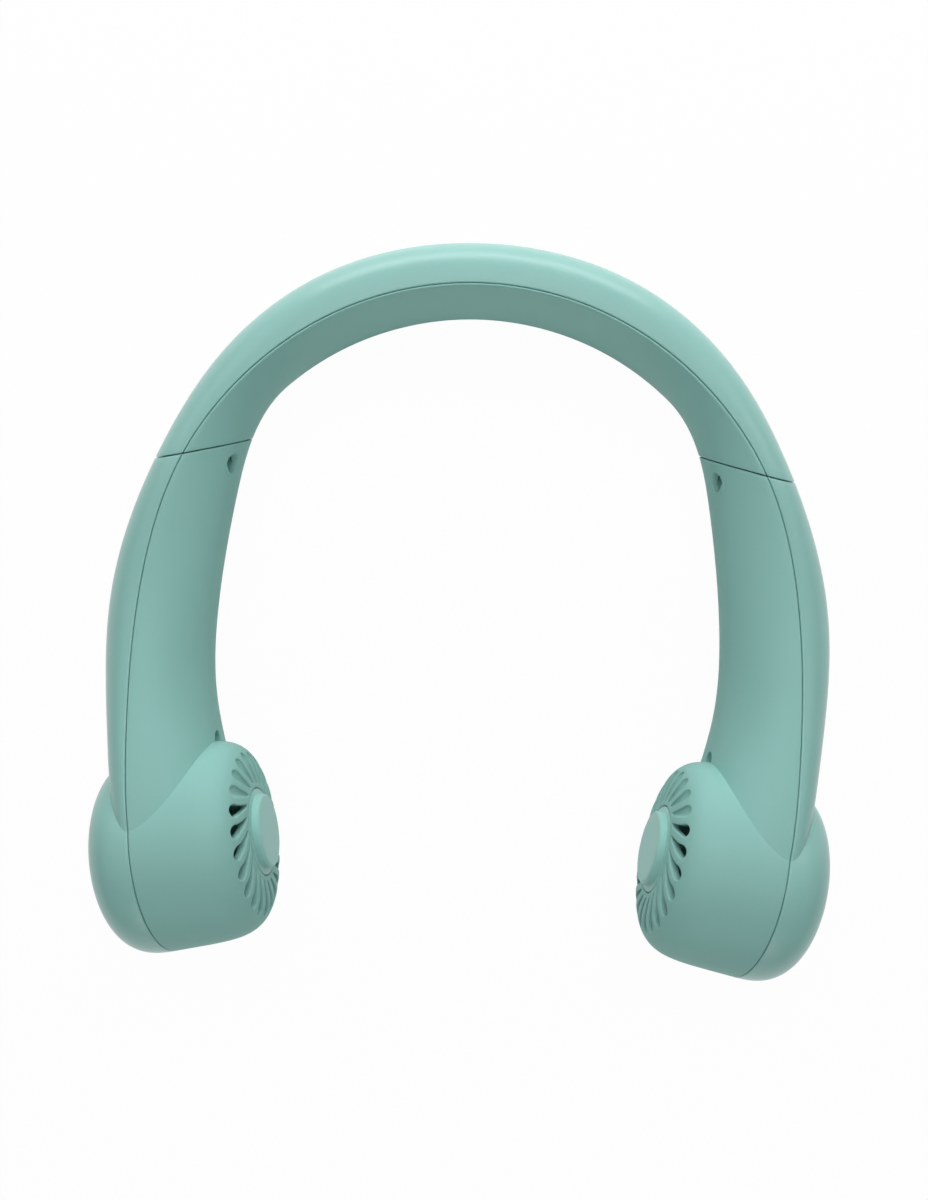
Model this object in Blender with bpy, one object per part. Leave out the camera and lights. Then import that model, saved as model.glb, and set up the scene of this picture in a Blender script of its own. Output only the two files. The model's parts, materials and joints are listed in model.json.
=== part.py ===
"""Neck fan: an arch, two hollow arms and two round fan heads, each shell split along one upright parting surface.

The fan lies flat, +Z up, with the wearer's neck between the arms and the arch towards +Y.
All sizes are in metres.
"""

import bmesh
import bpy
import numpy as np
from math import atan2, cos, pi, radians, sin, sqrt, tan
from mathutils import Matrix, Vector

# Plan of the parting surface, right side
ARCH_RADIUS = 0.0862
ARM_FLARE = 0.0006
ARM_SPREAD = ARCH_RADIUS + ARM_FLARE
ARM_WIDEST_Y = 0.001
LOWER_ARM_TURN_IN = 0.0012
LOWER_ARM_X = ARM_SPREAD - LOWER_ARM_TURN_IN
LOWER_ARM_Y = -0.0359
HEAD_TURN_IN = 0.0075
HEAD_X = ARM_SPREAD - HEAD_TURN_IN
HEAD_Y = -0.0698
HEAD_TILT = radians(12.6)
HEAD_ENTRY = 0.010
ARCH_STATION_ANGLES = (radians(26.5), radians(47.5), radians(64.5))

# Fan heads
HEAD_RADIUS = 0.0270
HEAD_OUTER_BULGE = 0.0162
HEAD_OUTER_POWER = 2.8
HEAD_INNER_DEPTH = 0.0262
HEAD_INNER_POWER = 5.5

# Sections of the band: outer bulge, inner bulge and half depth, with the shares that each station has of them
OUTER_BULGE = 0.0150
INNER_BULGE = 0.0163
ARCH_HALF_DEPTH = 0.0156
ARM_STEP = 0.0024
ARM_HALF_DEPTH = HEAD_RADIUS - ARM_STEP
OUTER_BULGE_SHARES = (1.0, 1.0, 0.84, 0.68, 0.81, 0.67, 0.55, 0.50)
INNER_BULGE_SHARES = (0.03, 0.05, 0.28, 0.72, 0.95, 1.0, 1.0, 1.0)
DEPTH_GROWTH_SHARES = (0.0, 0.0, 0.02, 0.1, 0.26, 0.72, 1.0, 1.05)
LIFT_SHARES = (0.0, 0.0, 0.0, 0.0, 0.0, 0.25, 1.0, 1.0)
CREASE_SHARES = (1.0, 1.0, 1.0, 1.25, 1.7, 2.1, 2.3, 2.3)
DOME_POWER = 2.15
INNER_POWER = 2.2

# Shell walls and the gaps that separate shells keep
WALL = 0.0020
GAP = 0.0003
ARM_INSET = 0.00025
TONGUE_RISE = 0.0015
TONGUE_WALL = 0.0014
TONGUE_PLAY = 0.0008
OVERRUN = 0.002

# Seam between the arch and each arm
SEAM_ANGLE = radians(63.8)
SEAM_RISE = radians(11.8)
SEAM_LEAN = radians(13.2)
SEAM_MARGIN = 0.022

# Grilles, as shares of the head's radius
SLOT_COUNT = 24
SLOT_END_SHARES = {"inner": 0.822, "outer": 0.66}
SLOT_START_SHARE = 0.489
SLOT_WIDTH_SHARES = {"inner": 0.106, "outer": 0.085}
SLOT_KNEE_SHARE = 0.35
SLOT_TIP_WIDTH = 0.0011
SLOT_SWIRL = radians(15)
SLOT_CUT_DEPTH = 0.005
BLIND_SECTOR = radians(52.5)
BLIND_DEPTH = 0.0009

# Round caps in the middle of the grilles
CAP_SHARE = 0.37
CAP_RADIUS = HEAD_RADIUS * CAP_SHARE
CAP_RISE = 0.0021
CAP_BEVEL = 0.0008
FLANGE_EDGE = 0.0017
FLANGE_RADIUS = CAP_RADIUS + FLANGE_EDGE
FLANGE_THICKNESS = 0.0011

# Screws and their bosses
SCREW_RADIUS = 0.0013
SCREW_HEAD_RADIUS = 0.0022
SCREW_HEAD_HEIGHT = 0.0014
SCREW_LENGTH = 0.0090
SCREW_HOLE_RADIUS = 0.0026
SCREW_HOLE_DEPTH = 0.0058
BOSS_RADIUS = 0.0040
OUTER_BOSS_RADIUS = 0.0031
PILOT_RADIUS = 0.0015
SCREW_RIM_SHARE = 0.6
SCREW_TOP_SHARE = 0.7
UPPER_SCREW_DROP = 0.00126
UPPER_SCREW_Y = ARCH_RADIUS * cos(SEAM_ANGLE) - UPPER_SCREW_DROP
LOWER_SCREW_Y = -0.0405
UPPER_SCREW_RISE = 0.0059
UPPER_SCREW_HEIGHT = ARCH_HALF_DEPTH + UPPER_SCREW_RISE
LOWER_SCREW_SINK = 0.0021
LOWER_SCREW_HEIGHT = ARM_HALF_DEPTH - LOWER_SCREW_SINK

# Motor and impeller
TUBE_RADIUS = 0.0032
TUBE_BORE = 0.0026
TUBE_TOP = 0.0070
MOUNT_DEPTH = 0.0066
MOUNT_THICKNESS = 0.0016
MOUNT_RIM = 0.0024
MOUNT_PLAY = 0.0008
SPOKE_COUNT = 4
SPOKE_WIDTH = 0.0036
SPOKE_INSET = 0.00016
STATOR_SHARE = 0.3185
STATOR_RADIUS = HEAD_RADIUS * STATOR_SHARE
STATOR_HALF_HEIGHT = 0.0040
CORE_SHARE = 0.35
POLE_COUNT = 6
POLE_WIDTH = 0.0026
SHOE_THICKNESS = 0.0012
SHOE_SHARE = 0.82
BELL_SHARE = 0.385
BELL_RADIUS = HEAD_RADIUS * BELL_SHARE
BELL_WALL = 0.0011
BELL_TOP = 0.0092
BELL_BOTTOM = -0.0046
SHAFT_RADIUS = 0.0010
SHAFT_PLAY = 0.00015
BEARING_RADIUS = 0.0024
BEARING_BORE = 0.0012
BEARING_HEIGHT = 0.0025
HUB_WALL = 0.0010
BLADE_COUNT = 13
BLADE_INNER_SHARE = 0.511
BLADE_OUTER_SHARE = 0.7925
BLADE_INNER_RADIUS = HEAD_RADIUS * BLADE_INNER_SHARE
BLADE_OUTER_RADIUS = HEAD_RADIUS * BLADE_OUTER_SHARE
BLADE_THICKNESS = 0.0007
BLADE_CURVE_POWER = 1.5
BLADE_STEPS = 2
BLADE_SWEEP = radians(26)
BLADE_BOTTOM = -0.0030
BLADE_TOP = 0.0140
DISC_HEIGHT = 0.0045
DISC_THICKNESS = 0.0010

# Cells
CELL_RADIUS = 0.0070
CELL_LENGTH = 0.050
CELL_MIDDLE_Y = -0.0105
CELL_SINK = 0.0022
CELL_HEIGHT = ARM_HALF_DEPTH - CELL_SINK
CELL_INWARD = 0.0012
CELL_BEVEL = 0.0005
TERMINAL_RADIUS = 0.0028
TERMINAL_HEIGHT = 0.0012

# Controls in the right arm's outer shell, in a row along the arm
CONTROL_Y = -0.010
CONTROL_DROP_SHARE = 0.6
BOARD_LENGTH = 0.036
BOARD_WIDTH = 0.0088
BOARD_THICKNESS = 0.0012
BOARD_DEPTH = 0.0088
CONTROL_BACK = 0.0034
CONTROL_HOLE_DEPTH = 0.0044
BUTTON_ALONG = 0.0115
BUTTON_RADIUS = 0.0034
BUTTON_RISE = 0.0006
BUTTON_FLANGE = 0.0007
BUTTON_FLANGE_THICKNESS = 0.0008
BUTTON_STEM_RADIUS = 0.0014
BUTTON_TRAVEL = 0.0004
BUTTON_DOME_SHARES = ((0.85, 0.7), (0.5, 0.95))
SWITCH_WIDTH = 0.0045
SWITCH_HEIGHT = 0.0014
PLUNGER_RADIUS = 0.0011
PLUNGER_HEIGHT = 0.0005
LIGHT_COUNT = 4
LIGHT_PITCH = 0.0030
LIGHT_RADIUS = 0.0007
LIGHT_PLAY = 0.0002
LIGHT_BAR_WIDTH = 0.0026
LIGHT_BAR_THICKNESS = 0.0010
PORT_ALONG = -0.0125
PORT_WIDTH = 0.00894
PORT_HEIGHT = 0.00326
PORT_SHEET = 0.0003
PORT_TONGUE_WIDTH = 0.0067
PORT_TONGUE_THICKNESS = 0.0007
PORT_SINK = 0.0010
PORT_FLOOR_SHARE = 0.25

# Lead through the arch
LEAD_WIDTH = 0.0060
LEAD_THICKNESS = 0.0012
LEAD_CLEARANCE = 0.001
LEAD_DROP = 0.003
LEAD_TAIL = 0.0081
LEAD_END_Y = ARCH_RADIUS * cos(SEAM_ANGLE) - LEAD_TAIL

# Counts of faces
ARCH_RINGS = 14
ARM_RINGS = 7
SECTION_STEPS = 8
HEAD_STEPS = 5
HEAD_SIDES = 24
ROUND_SIDES = 14
SMALL_SIDES = 8
HOLE_SIDES = 10
LEAD_RINGS = 18
TANGENT_STEPS = 1000
SEARCH_STEPS = 40
ROOM_OFFSET_SHARE = 0.4
RECESS_OFFSET_SHARE = 0.5

# Head axes: local Z points out of the inner grille, local X towards the arm
SIDES = {"right": 1, "left": -1}


def material(name, colour, roughness, metallic=0.0):
    found = bpy.data.materials.new(name)
    found.use_nodes = True
    shader = found.node_tree.nodes["Principled BSDF"]
    shader.inputs["Base Color"].default_value = (*colour, 1.0)
    shader.inputs["Roughness"].default_value = roughness
    shader.inputs["Metallic"].default_value = metallic
    return found


def new_object(name, points, faces, finish=None, parent=None, smooth_angle=radians(35)):
    """A closed mesh from points and faces, its normals turned outwards."""
    mesh = bpy.data.meshes.new(name)
    mesh.from_pydata([tuple(point) for point in points], [], faces)
    body = bmesh.new()
    body.from_mesh(mesh)
    bmesh.ops.recalc_face_normals(body, faces=body.faces)
    body.to_mesh(mesh)
    body.free()
    mesh.shade_smooth()
    mesh.set_sharp_from_angle(angle=smooth_angle)
    made = bpy.data.objects.new(name, mesh)
    bpy.context.scene.collection.objects.link(made)
    if finish:
        mesh.materials.append(finish)
    if parent:
        made.parent = parent
    return made


def helper(made):
    """Marks an object that only cuts or joins another."""
    made.hide_render = True
    made.display_type = "WIRE"
    return made


def combine(target, tool, operation):
    change = target.modifiers.new(tool.name, "BOOLEAN")
    change.operation = operation
    change.object = helper(tool)


def empty(name, matrix):
    made = bpy.data.objects.new(name, None)
    made.matrix_world = matrix
    bpy.context.scene.collection.objects.link(made)
    return made


def skin(rings, closed=False):
    """Faces between rings of equally many points, with the first and last ring filled unless they meet."""
    count = len(rings[0])
    points = [point for ring in rings for point in ring]
    faces = []
    spans = len(rings) if closed else len(rings) - 1
    for ring in range(spans):
        after = (ring + 1) % len(rings)
        for step in range(count):
            turn = (step + 1) % count
            faces.append((ring * count + step, ring * count + turn, after * count + turn, after * count + step))
    if not closed:
        faces.append(tuple(range(count)))
        faces.append(tuple(range((len(rings) - 1) * count, len(rings) * count)))
    return points, faces


def turned(profile, sides, offset_share=0.0):
    """Points and faces of a profile of (radius, height) turned round local Z, starting a share of a side round."""
    points, faces, starts = [], [], []
    for radius, height in profile:
        starts.append(len(points))
        if radius == 0:
            points.append((0, 0, height))
            continue
        for side in range(sides):
            angle = 2 * pi * (side + offset_share) / sides
            points.append((radius * cos(angle), radius * sin(angle), height))
    last = len(profile)
    open_ended = profile[0][0] == 0
    for row in range(last - 1 if open_ended else last):
        here, there = starts[row], starts[(row + 1) % last]
        for side in range(sides):
            turn = (side + 1) % sides
            if profile[row][0] == 0:
                faces.append((here, there + side, there + turn))
            elif profile[(row + 1) % last][0] == 0:
                faces.append((here + side, here + turn, there))
            else:
                faces.append((here + side, here + turn, there + turn, there + side))
    return points, faces


def prism(outline, bottom, top):
    """Points and faces of an outline in local X and Y, between two heights."""
    return skin([[(x, y, bottom) for x, y in outline], [(x, y, top) for x, y in outline]])


def joined(shapes):
    """One set of points and faces from several that lie clear of each other."""
    points, faces = [], []
    for more_points, more_faces in shapes:
        start = len(points)
        points += more_points
        faces += [tuple(start + corner for corner in face) for face in more_faces]
    return points, faces


def moved(shape, matrix):
    points, faces = shape
    return [matrix @ Vector(point) for point in points], faces


def rectangle(width, height):
    return [(-width / 2, -height / 2), (width / 2, -height / 2), (width / 2, height / 2), (-width / 2, height / 2)]


def rounded_rectangle(width, height, steps=4):
    """A slot outline with fully round ends."""
    radius = height / 2
    reach = width / 2 - radius
    outline = []
    for side, start in ((1, -pi / 2), (-1, pi / 2)):
        for step in range(steps + 1):
            angle = start + pi * step / steps
            outline.append((side * reach + radius * cos(angle), radius * sin(angle)))
    return outline


def circle(radius, sides, x=0.0, y=0.0):
    turns = [2 * pi * (side + 0.5) / sides for side in range(sides)]
    return [(x + radius * cos(turn), y + radius * sin(turn)) for turn in turns]


def spline(knots, values, at):
    """Natural cubic spline through the values at the knots."""
    knots, values, at = np.asarray(knots), np.asarray(values), np.asarray(at)
    span = np.diff(knots)
    count = len(knots)
    matrix = np.eye(count)
    right = np.zeros(count)
    slope = np.diff(values) / span
    for row in range(1, count - 1):
        matrix[row, row - 1:row + 2] = span[row - 1], 2 * (span[row - 1] + span[row]), span[row]
        right[row] = 6 * (slope[row] - slope[row - 1])
    bend = np.linalg.solve(matrix, right)
    left = np.clip(np.searchsorted(knots, at) - 1, 0, count - 2)
    width = span[left]
    ahead = (at - knots[left]) / width
    behind = 1 - ahead
    curve = (behind ** 3 - behind) * bend[left] + (ahead ** 3 - ahead) * bend[left + 1]
    return behind * values[left] + ahead * values[left + 1] + curve * width ** 2 / 6


def head_direction():
    return np.array([sin(HEAD_TILT), cos(HEAD_TILT)])


def half_plan():
    """Plan points of the parting surface, from the top of the arch to the right head's centre."""
    points = [(0.0, ARCH_RADIUS)]
    points += [(ARCH_RADIUS * sin(angle), ARCH_RADIUS * cos(angle)) for angle in ARCH_STATION_ANGLES]
    centre = np.array([HEAD_X, HEAD_Y])
    points += [(ARM_SPREAD, ARM_WIDEST_Y), (LOWER_ARM_X, LOWER_ARM_Y)]
    points += [tuple(centre + HEAD_ENTRY * head_direction()), (HEAD_X, HEAD_Y)]
    return np.array(points)


class Band:
    """The swept body of arch and arms: where it runs and how wide and deep it is along its length."""

    def __init__(self):
        half = half_plan()
        length = np.concatenate([[0.0], np.cumsum(np.linalg.norm(np.diff(half, axis=0), axis=1))])
        self.end = length[-2]
        self.knots = np.concatenate([-length[:0:-1], length])
        self.x = np.concatenate([-half[:0:-1, 0], half[:, 0]])
        self.y = self.both(half[:, 1])
        self.outer = self.both(OUTER_BULGE * np.array(OUTER_BULGE_SHARES))
        self.inner = self.both(INNER_BULGE * np.array(INNER_BULGE_SHARES))
        growth = np.array(DEPTH_GROWTH_SHARES) * (ARM_HALF_DEPTH - ARCH_HALF_DEPTH)
        self.half_depth = self.both(ARCH_HALF_DEPTH + growth)
        self.lift = self.both(np.array(LIFT_SHARES) * (HEAD_RADIUS - ARM_HALF_DEPTH))
        self.crease = self.both(np.array(CREASE_SHARES))

    def both(self, values):
        return np.concatenate([values[:0:-1], values])

    def at(self, along):
        """Plan point, outward direction, middle height, and the section's sizes, at a length from the top."""
        values = [float(spline(self.knots, row, along)) for row in
                  (self.x, self.y, self.lift, self.outer, self.inner, self.half_depth, self.crease)]
        step = self.end / TANGENT_STEPS
        ahead = [float(spline(self.knots, row, along + step)) for row in (self.x, self.y)]
        tangent = np.array([ahead[0] - values[0], ahead[1] - values[1]])
        tangent /= np.linalg.norm(tangent)
        middle = values[5] + max(0.0, values[2])
        return np.array(values[:2]), np.array([-tangent[1], tangent[0]]), middle, tuple(values[3:])

    def where(self, y):
        """Length from the top at which the right arm passes this y."""
        low, high = 0.0, float(self.knots[-1])
        for _ in range(SEARCH_STEPS):
            middle = (low + high) / 2
            if self.at(middle)[0][1] > y:
                low = middle
            else:
                high = middle
        return (low + high) / 2


BAND = Band()


def dome(bulge, half_depth, start):
    """Outer side of a section, from its upper crest to its lower one, as (outwards, up from the middle)."""
    points = []
    for step in range(SECTION_STEPS + 1):
        angle = pi / 2 - pi * step / SECTION_STEPS
        out = start + (bulge - start) * abs(cos(angle)) ** (2 / DOME_POWER)
        up = half_depth * abs(sin(angle)) ** (2 / DOME_POWER)
        points.append((out, up if angle > 0 else -up))
    return points


def lens(bulge, half_depth, crease, start):
    """Inner side of a section; a crease of 1 meets the crest at an angle, a larger one more roundly."""
    points = []
    for step in range(SECTION_STEPS + 1):
        share = cos(pi * step / SECTION_STEPS)
        swell = max(0.0, 1 - abs(share) ** INNER_POWER) ** (1 / crease)
        points.append((start - (bulge + start) * swell, half_depth * share))
    return points


def outer_section(sizes, inset):
    """Outer shell before it is hollowed, its face away from the parting surface by the inset."""
    return dome(sizes[0], sizes[2], inset)


def outer_hollow(sizes, inset):
    room = sizes[2] - WALL
    return dome(sizes[0] - WALL, room, inset) + [(-OVERRUN, -room), (-OVERRUN, room)]


def inner_section(sizes, inset):
    """Inner shell before it is hollowed, with the rim that stands up into the outer shell."""
    tongue = sizes[2] - WALL - TONGUE_PLAY
    rise = TONGUE_RISE - 2 * inset
    profile = lens(sizes[1], sizes[2], sizes[3], -inset)
    return profile + [(-inset, -tongue), (rise, -tongue), (rise, tongue), (-inset, tongue)]


def inner_hollow(sizes, inset):
    room = sizes[2] - WALL - TONGUE_PLAY - TONGUE_WALL
    above = TONGUE_RISE + inset
    profile = lens(sizes[1] - WALL, room, sizes[3], above)
    return profile + [(above + OVERRUN, -room), (above + OVERRUN, room)]


def post_limit(sizes, inset):
    """Halfway into the walls, on both sides of the parting surface."""
    half = WALL / 2
    side = lens(sizes[1] - half, sizes[2] - half, sizes[3], 0.0)
    return dome(sizes[0] - half, sizes[2] - half, 0.0) + side[-2:0:-1]


def swept(section, lengths, inset=GAP / 2):
    """A section carried along the band."""
    rings = []
    for along in lengths:
        place, outwards, middle, sizes = BAND.at(along)
        ring = []
        for out, up in section(sizes, inset):
            x, y = place + out * outwards
            ring.append((x, y, middle + up))
        rings.append(ring)
    return skin(rings)


def seam_length():
    """Length from the top of the arch to the seam."""
    return ARCH_RADIUS * SEAM_ANGLE


def seam_plane(side, shift):
    """A point of the seam, moved up the arch by the shift, and the direction towards the arch."""
    place, _, middle, sizes = BAND.at(seam_length())
    point = Vector((place[0], place[1], middle + sizes[2]))
    direction = Vector((tan(SEAM_RISE), 1.0, tan(SEAM_LEAN))).normalized()
    point = point + direction * shift
    return Vector((side * point.x, point.y, point.z)), Vector((side * direction.x, direction.y, direction.z))


def trim(made, side, point, direction):
    """Cuts one half of a closed mesh off along a plane, where the direction points to, and fills the cut."""
    body = bmesh.new()
    body.from_mesh(made.data)
    reached = {vert.index for vert in body.verts if side * vert.co.x > -GAP}
    half = body.verts[:] + body.edges[:] + body.faces[:]
    half = [item for item in half if reached.issuperset(vertex_numbers(item))]
    cut = bmesh.ops.bisect_plane(body, geom=half, plane_co=point, plane_no=direction, clear_outer=True)
    edges = [item for item in cut["geom_cut"] if isinstance(item, bmesh.types.BMEdge)]
    bmesh.ops.edgeloop_fill(body, edges=edges)
    bmesh.ops.recalc_face_normals(body, faces=body.faces)
    body.to_mesh(made.data)
    body.free()


def vertex_numbers(item):
    if isinstance(item, bmesh.types.BMVert):
        return [item.index]
    return [vert.index for vert in item.verts]


def head_matrix(side):
    """Places a head: origin on its axis at the parting surface."""
    axis = Vector((-side * cos(HEAD_TILT), sin(HEAD_TILT), 0))
    arm = Vector((side * sin(HEAD_TILT), cos(HEAD_TILT), 0))
    across = axis.cross(arm)
    turn = Matrix((arm, across, axis)).transposed().to_4x4()
    return Matrix.Translation((side * HEAD_X, HEAD_Y, HEAD_RADIUS)) @ turn


def drum(depth, radius, power, start):
    """Profile of a head from its parting surface to its end, as (radius, height)."""
    points = [(radius, start)]
    for step in range(1, HEAD_STEPS + 1):
        angle = pi / 2 * step / HEAD_STEPS
        points.append((radius * cos(angle) ** (2 / power), start + (depth - start) * sin(angle) ** (2 / power)))
    points[-1] = (0, depth)
    return points


def face_height(radius, depth, head_radius, power):
    """Height of a head's domed end at a distance from its axis."""
    return depth * (1 - (radius / head_radius) ** power) ** (1 / power)


def flipped(profile):
    return [(radius, -height) for radius, height in profile]


def middle_shift():
    """How far everything moves along Y so that the origin is under the middle of the whole."""
    profile = drum(HEAD_OUTER_BULGE, HEAD_RADIUS, HEAD_OUTER_POWER, GAP / 2)
    below = max(radius * cos(HEAD_TILT) + height * sin(HEAD_TILT) for radius, height in profile)
    return (below - HEAD_Y - ARCH_RADIUS - OUTER_BULGE) / 2


def head_form(part):
    """Half of a head before it is hollowed, from its parting surface outwards."""
    if part == "inner":
        tongue = HEAD_RADIUS - WALL - TONGUE_PLAY
        rim = [(0, -TONGUE_RISE), (tongue, -TONGUE_RISE), (tongue, GAP / 2)]
        return rim + drum(HEAD_INNER_DEPTH, HEAD_RADIUS, HEAD_INNER_POWER, GAP / 2)
    return flipped([(0, GAP / 2)] + drum(HEAD_OUTER_BULGE, HEAD_RADIUS, HEAD_OUTER_POWER, GAP / 2))


def head_room(part):
    if part == "inner":
        room = HEAD_RADIUS - WALL - TONGUE_PLAY - TONGUE_WALL
        floor = [(0, -TONGUE_RISE - OVERRUN), (room, -TONGUE_RISE - OVERRUN)]
        return floor + drum(HEAD_INNER_DEPTH - WALL, room, HEAD_INNER_POWER, 0.0)
    room = HEAD_RADIUS - WALL
    floor = [(0, -OVERRUN), (room, -OVERRUN)]
    return flipped(floor + drum(HEAD_OUTER_BULGE - WALL, room, HEAD_OUTER_POWER, 0.0))


def slot_outline(middle, hand, part):
    """A slot that narrows towards the middle of the grille, as (radius, angle) pairs."""
    end = HEAD_RADIUS * SLOT_END_SHARES[part]
    start = HEAD_RADIUS * SLOT_START_SHARE
    reach = end - start
    wide, narrow = HEAD_RADIUS * SLOT_WIDTH_SHARES[part] / 2, SLOT_TIP_WIDTH / 2
    rows = [(end, wide), (start, narrow)]
    outline = rows + [(radius, -half) for radius, half in rows[::-1]]
    if part == "inner":
        knee = end - reach * SLOT_KNEE_SHARE
        outline.insert(1, (knee, wide))
        outline.insert(4, (knee, -wide))
    turned_outline = []
    for radius, across in outline:
        lean = SLOT_SWIRL * ((end - radius) / reach) ** 2
        turned_outline.append((radius, middle + hand * (lean + across / radius)))
    return turned_outline


def slot_cutters(part, hand):
    """Cutters for a grille's slots. Those towards the arm are shallow scoops, and the outer grille leaves them out."""
    if part == "inner":
        depth, power, up = HEAD_INNER_DEPTH, HEAD_INNER_POWER, 1
    else:
        depth, power, up = HEAD_OUTER_BULGE, HEAD_OUTER_POWER, -1
    shapes = []
    for number in range(SLOT_COUNT):
        middle = 2 * pi * number / SLOT_COUNT
        away = abs(atan2(sin(middle), cos(middle)))
        blind = away < BLIND_SECTOR
        if blind and part == "outer":
            continue
        outline = slot_outline(middle, hand, part)
        bottom, top = [], []
        for radius, angle in outline:
            face = face_height(radius, depth, HEAD_RADIUS, power)
            low = face - (BLIND_DEPTH if blind else SLOT_CUT_DEPTH)
            bottom.append((radius * cos(angle), radius * sin(angle), up * low))
            top.append((radius * cos(angle), radius * sin(angle), up * (depth + OVERRUN)))
        shapes.append(skin([bottom, top]))
    return joined(shapes)


def recess(part):
    """Seat of a cap's flange in the middle of a grille."""
    depth = cap_seat(part)
    profile = [(0, depth - FLANGE_THICKNESS - GAP), (FLANGE_RADIUS + GAP, depth - FLANGE_THICKNESS - GAP),
               (FLANGE_RADIUS + GAP, depth + OVERRUN), (0, depth + OVERRUN)]
    return turned(profile if part == "inner" else flipped(profile), HEAD_SIDES, RECESS_OFFSET_SHARE)


def cap_seat(part):
    if part == "inner":
        return face_height(FLANGE_RADIUS, HEAD_INNER_DEPTH, HEAD_RADIUS, HEAD_INNER_POWER)
    return face_height(FLANGE_RADIUS, HEAD_OUTER_BULGE, HEAD_RADIUS, HEAD_OUTER_POWER)


def cap(part):
    seat = cap_seat(part)
    top = seat + CAP_RISE
    profile = [(0, seat - FLANGE_THICKNESS), (FLANGE_RADIUS, seat - FLANGE_THICKNESS), (FLANGE_RADIUS, seat),
               (CAP_RADIUS, seat), (CAP_RADIUS, top - CAP_BEVEL)]
    profile += [(CAP_RADIUS - CAP_BEVEL, top), (0, top)]
    return turned(profile if part == "inner" else flipped(profile), HEAD_SIDES)


def screw_matrix(side, y, height, level_out=None):
    """Screw axes: origin in the inner shell's surface, local Z out of the hole, towards the neck."""
    along = BAND.where(y)
    for _ in range(3):
        place, outwards, middle, (outer, inner, half_depth, crease) = BAND.at(along)
        share = abs(height - middle) / half_depth
        swell = (1 - share ** INNER_POWER) ** (1 / crease)
        surface = place - inner * swell * outwards
        along = BAND.where(BAND.at(along)[0][1] + y - surface[1])
    out = level_out or outwards
    axis = Vector((-side * out[0], -out[1], 0))
    up = Vector((0, 0, 1))
    turn = Matrix((up.cross(axis), up, axis)).transposed().to_4x4()
    return Matrix.Translation((side * surface[0], surface[1], height)) @ turn


def screw_places(side):
    """The upper screw runs along the seam, so that its post stays inside the arm."""
    along_seam = (cos(SEAM_RISE), -sin(SEAM_RISE))
    return {"upper": screw_matrix(side, UPPER_SCREW_Y, UPPER_SCREW_HEIGHT, along_seam),
            "lower": screw_matrix(side, LOWER_SCREW_Y, LOWER_SCREW_HEIGHT)}


def inner_boss():
    """Post round a screw in an inner shell, down to its seat on the outer shell's post."""
    return prism(circle(BOSS_RADIUS, SMALL_SIDES), -SCREW_HOLE_DEPTH - WALL, WALL)


def outer_boss():
    start = -SCREW_HOLE_DEPTH - WALL - GAP
    return prism(circle(OUTER_BOSS_RADIUS, SMALL_SIDES), start - INNER_BULGE - OUTER_BULGE, start)


def screw_hole():
    """Counterbore for the head, and the clearance hole below it."""
    seat = -SCREW_HOLE_DEPTH
    profile = [(0, seat - 2 * WALL), (PILOT_RADIUS, seat - 2 * WALL), (PILOT_RADIUS, seat),
               (SCREW_HOLE_RADIUS, seat), (SCREW_HOLE_RADIUS, WALL + OVERRUN), (0, WALL + OVERRUN)]
    return turned(profile, HOLE_SIDES)


def pilot_hole():
    start = -SCREW_HOLE_DEPTH - WALL
    return prism(circle(PILOT_RADIUS, SMALL_SIDES), start - SCREW_LENGTH, start + WALL)


def screw():
    seat = -SCREW_HOLE_DEPTH + GAP
    profile = [(0, seat - SCREW_LENGTH), (SCREW_RADIUS, seat - SCREW_LENGTH), (SCREW_RADIUS, seat),
               (SCREW_HEAD_RADIUS, seat), (SCREW_HEAD_RADIUS, seat + SCREW_HEAD_HEIGHT * SCREW_RIM_SHARE),
               (SCREW_HEAD_RADIUS * SCREW_TOP_SHARE, seat + SCREW_HEAD_HEIGHT), (0, seat + SCREW_HEAD_HEIGHT)]
    return turned(profile, SMALL_SIDES)


def mirrored(shape, side):
    points, faces = shape
    return [(side * x, y, z) for x, y, z in points], faces


def arm_lengths():
    return np.linspace(seam_length() - SEAM_MARGIN, BAND.end, ARM_RINGS + 1)


def arm_shell(name, side, part, finish):
    """Half of an arm with its half of a head. The arm's face lies a little deeper than the head's."""
    section, hollow = {"inner": (inner_section, inner_hollow), "outer": (outer_section, outer_hollow)}[part]
    place = head_matrix(side)
    shell = new_object(name, *mirrored(swept(section, arm_lengths(), ARM_INSET), side), finish)
    trim(shell, side, *seam_plane(side, -GAP / 2))
    combine(shell, new_object(name + "_head_form", *moved(turned(head_form(part), HEAD_SIDES), place)), "UNION")
    arm_room = new_object(name + "_arm_room", *mirrored(swept(hollow, arm_lengths(), ARM_INSET), side))
    room = new_object(name + "_head_room", *moved(turned(head_room(part), HEAD_SIDES, ROOM_OFFSET_SHARE), place))
    combine(arm_room, room, "UNION")
    combine(shell, arm_room, "DIFFERENCE")
    return shell


def grille(shell, side, part):
    place = head_matrix(side)
    slots = new_object(shell.name + "_slots", *moved(slot_cutters(part, side), place))
    combine(shell, slots, "DIFFERENCE")
    seat = new_object(shell.name + "_cap_seat", *moved(recess(part), place))
    combine(shell, seat, "DIFFERENCE")


def bosses(shell, side, part):
    """Screw posts that end inside the arm's wall, with their holes."""
    boss, hole = {"inner": (inner_boss, screw_hole), "outer": (outer_boss, pilot_hole)}[part]
    places = screw_places(side)
    posts = new_object(shell.name + "_posts", *joined([moved(boss(), place) for place in places.values()]))
    limit = new_object(shell.name + "_post_limit", *mirrored(swept(post_limit, arm_lengths()), side))
    combine(posts, limit, "INTERSECT")
    combine(shell, posts, "UNION")
    holes = joined([moved(hole(), place) for place in places.values()])
    combine(shell, new_object(shell.name + "_holes", *holes), "DIFFERENCE")


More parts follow.
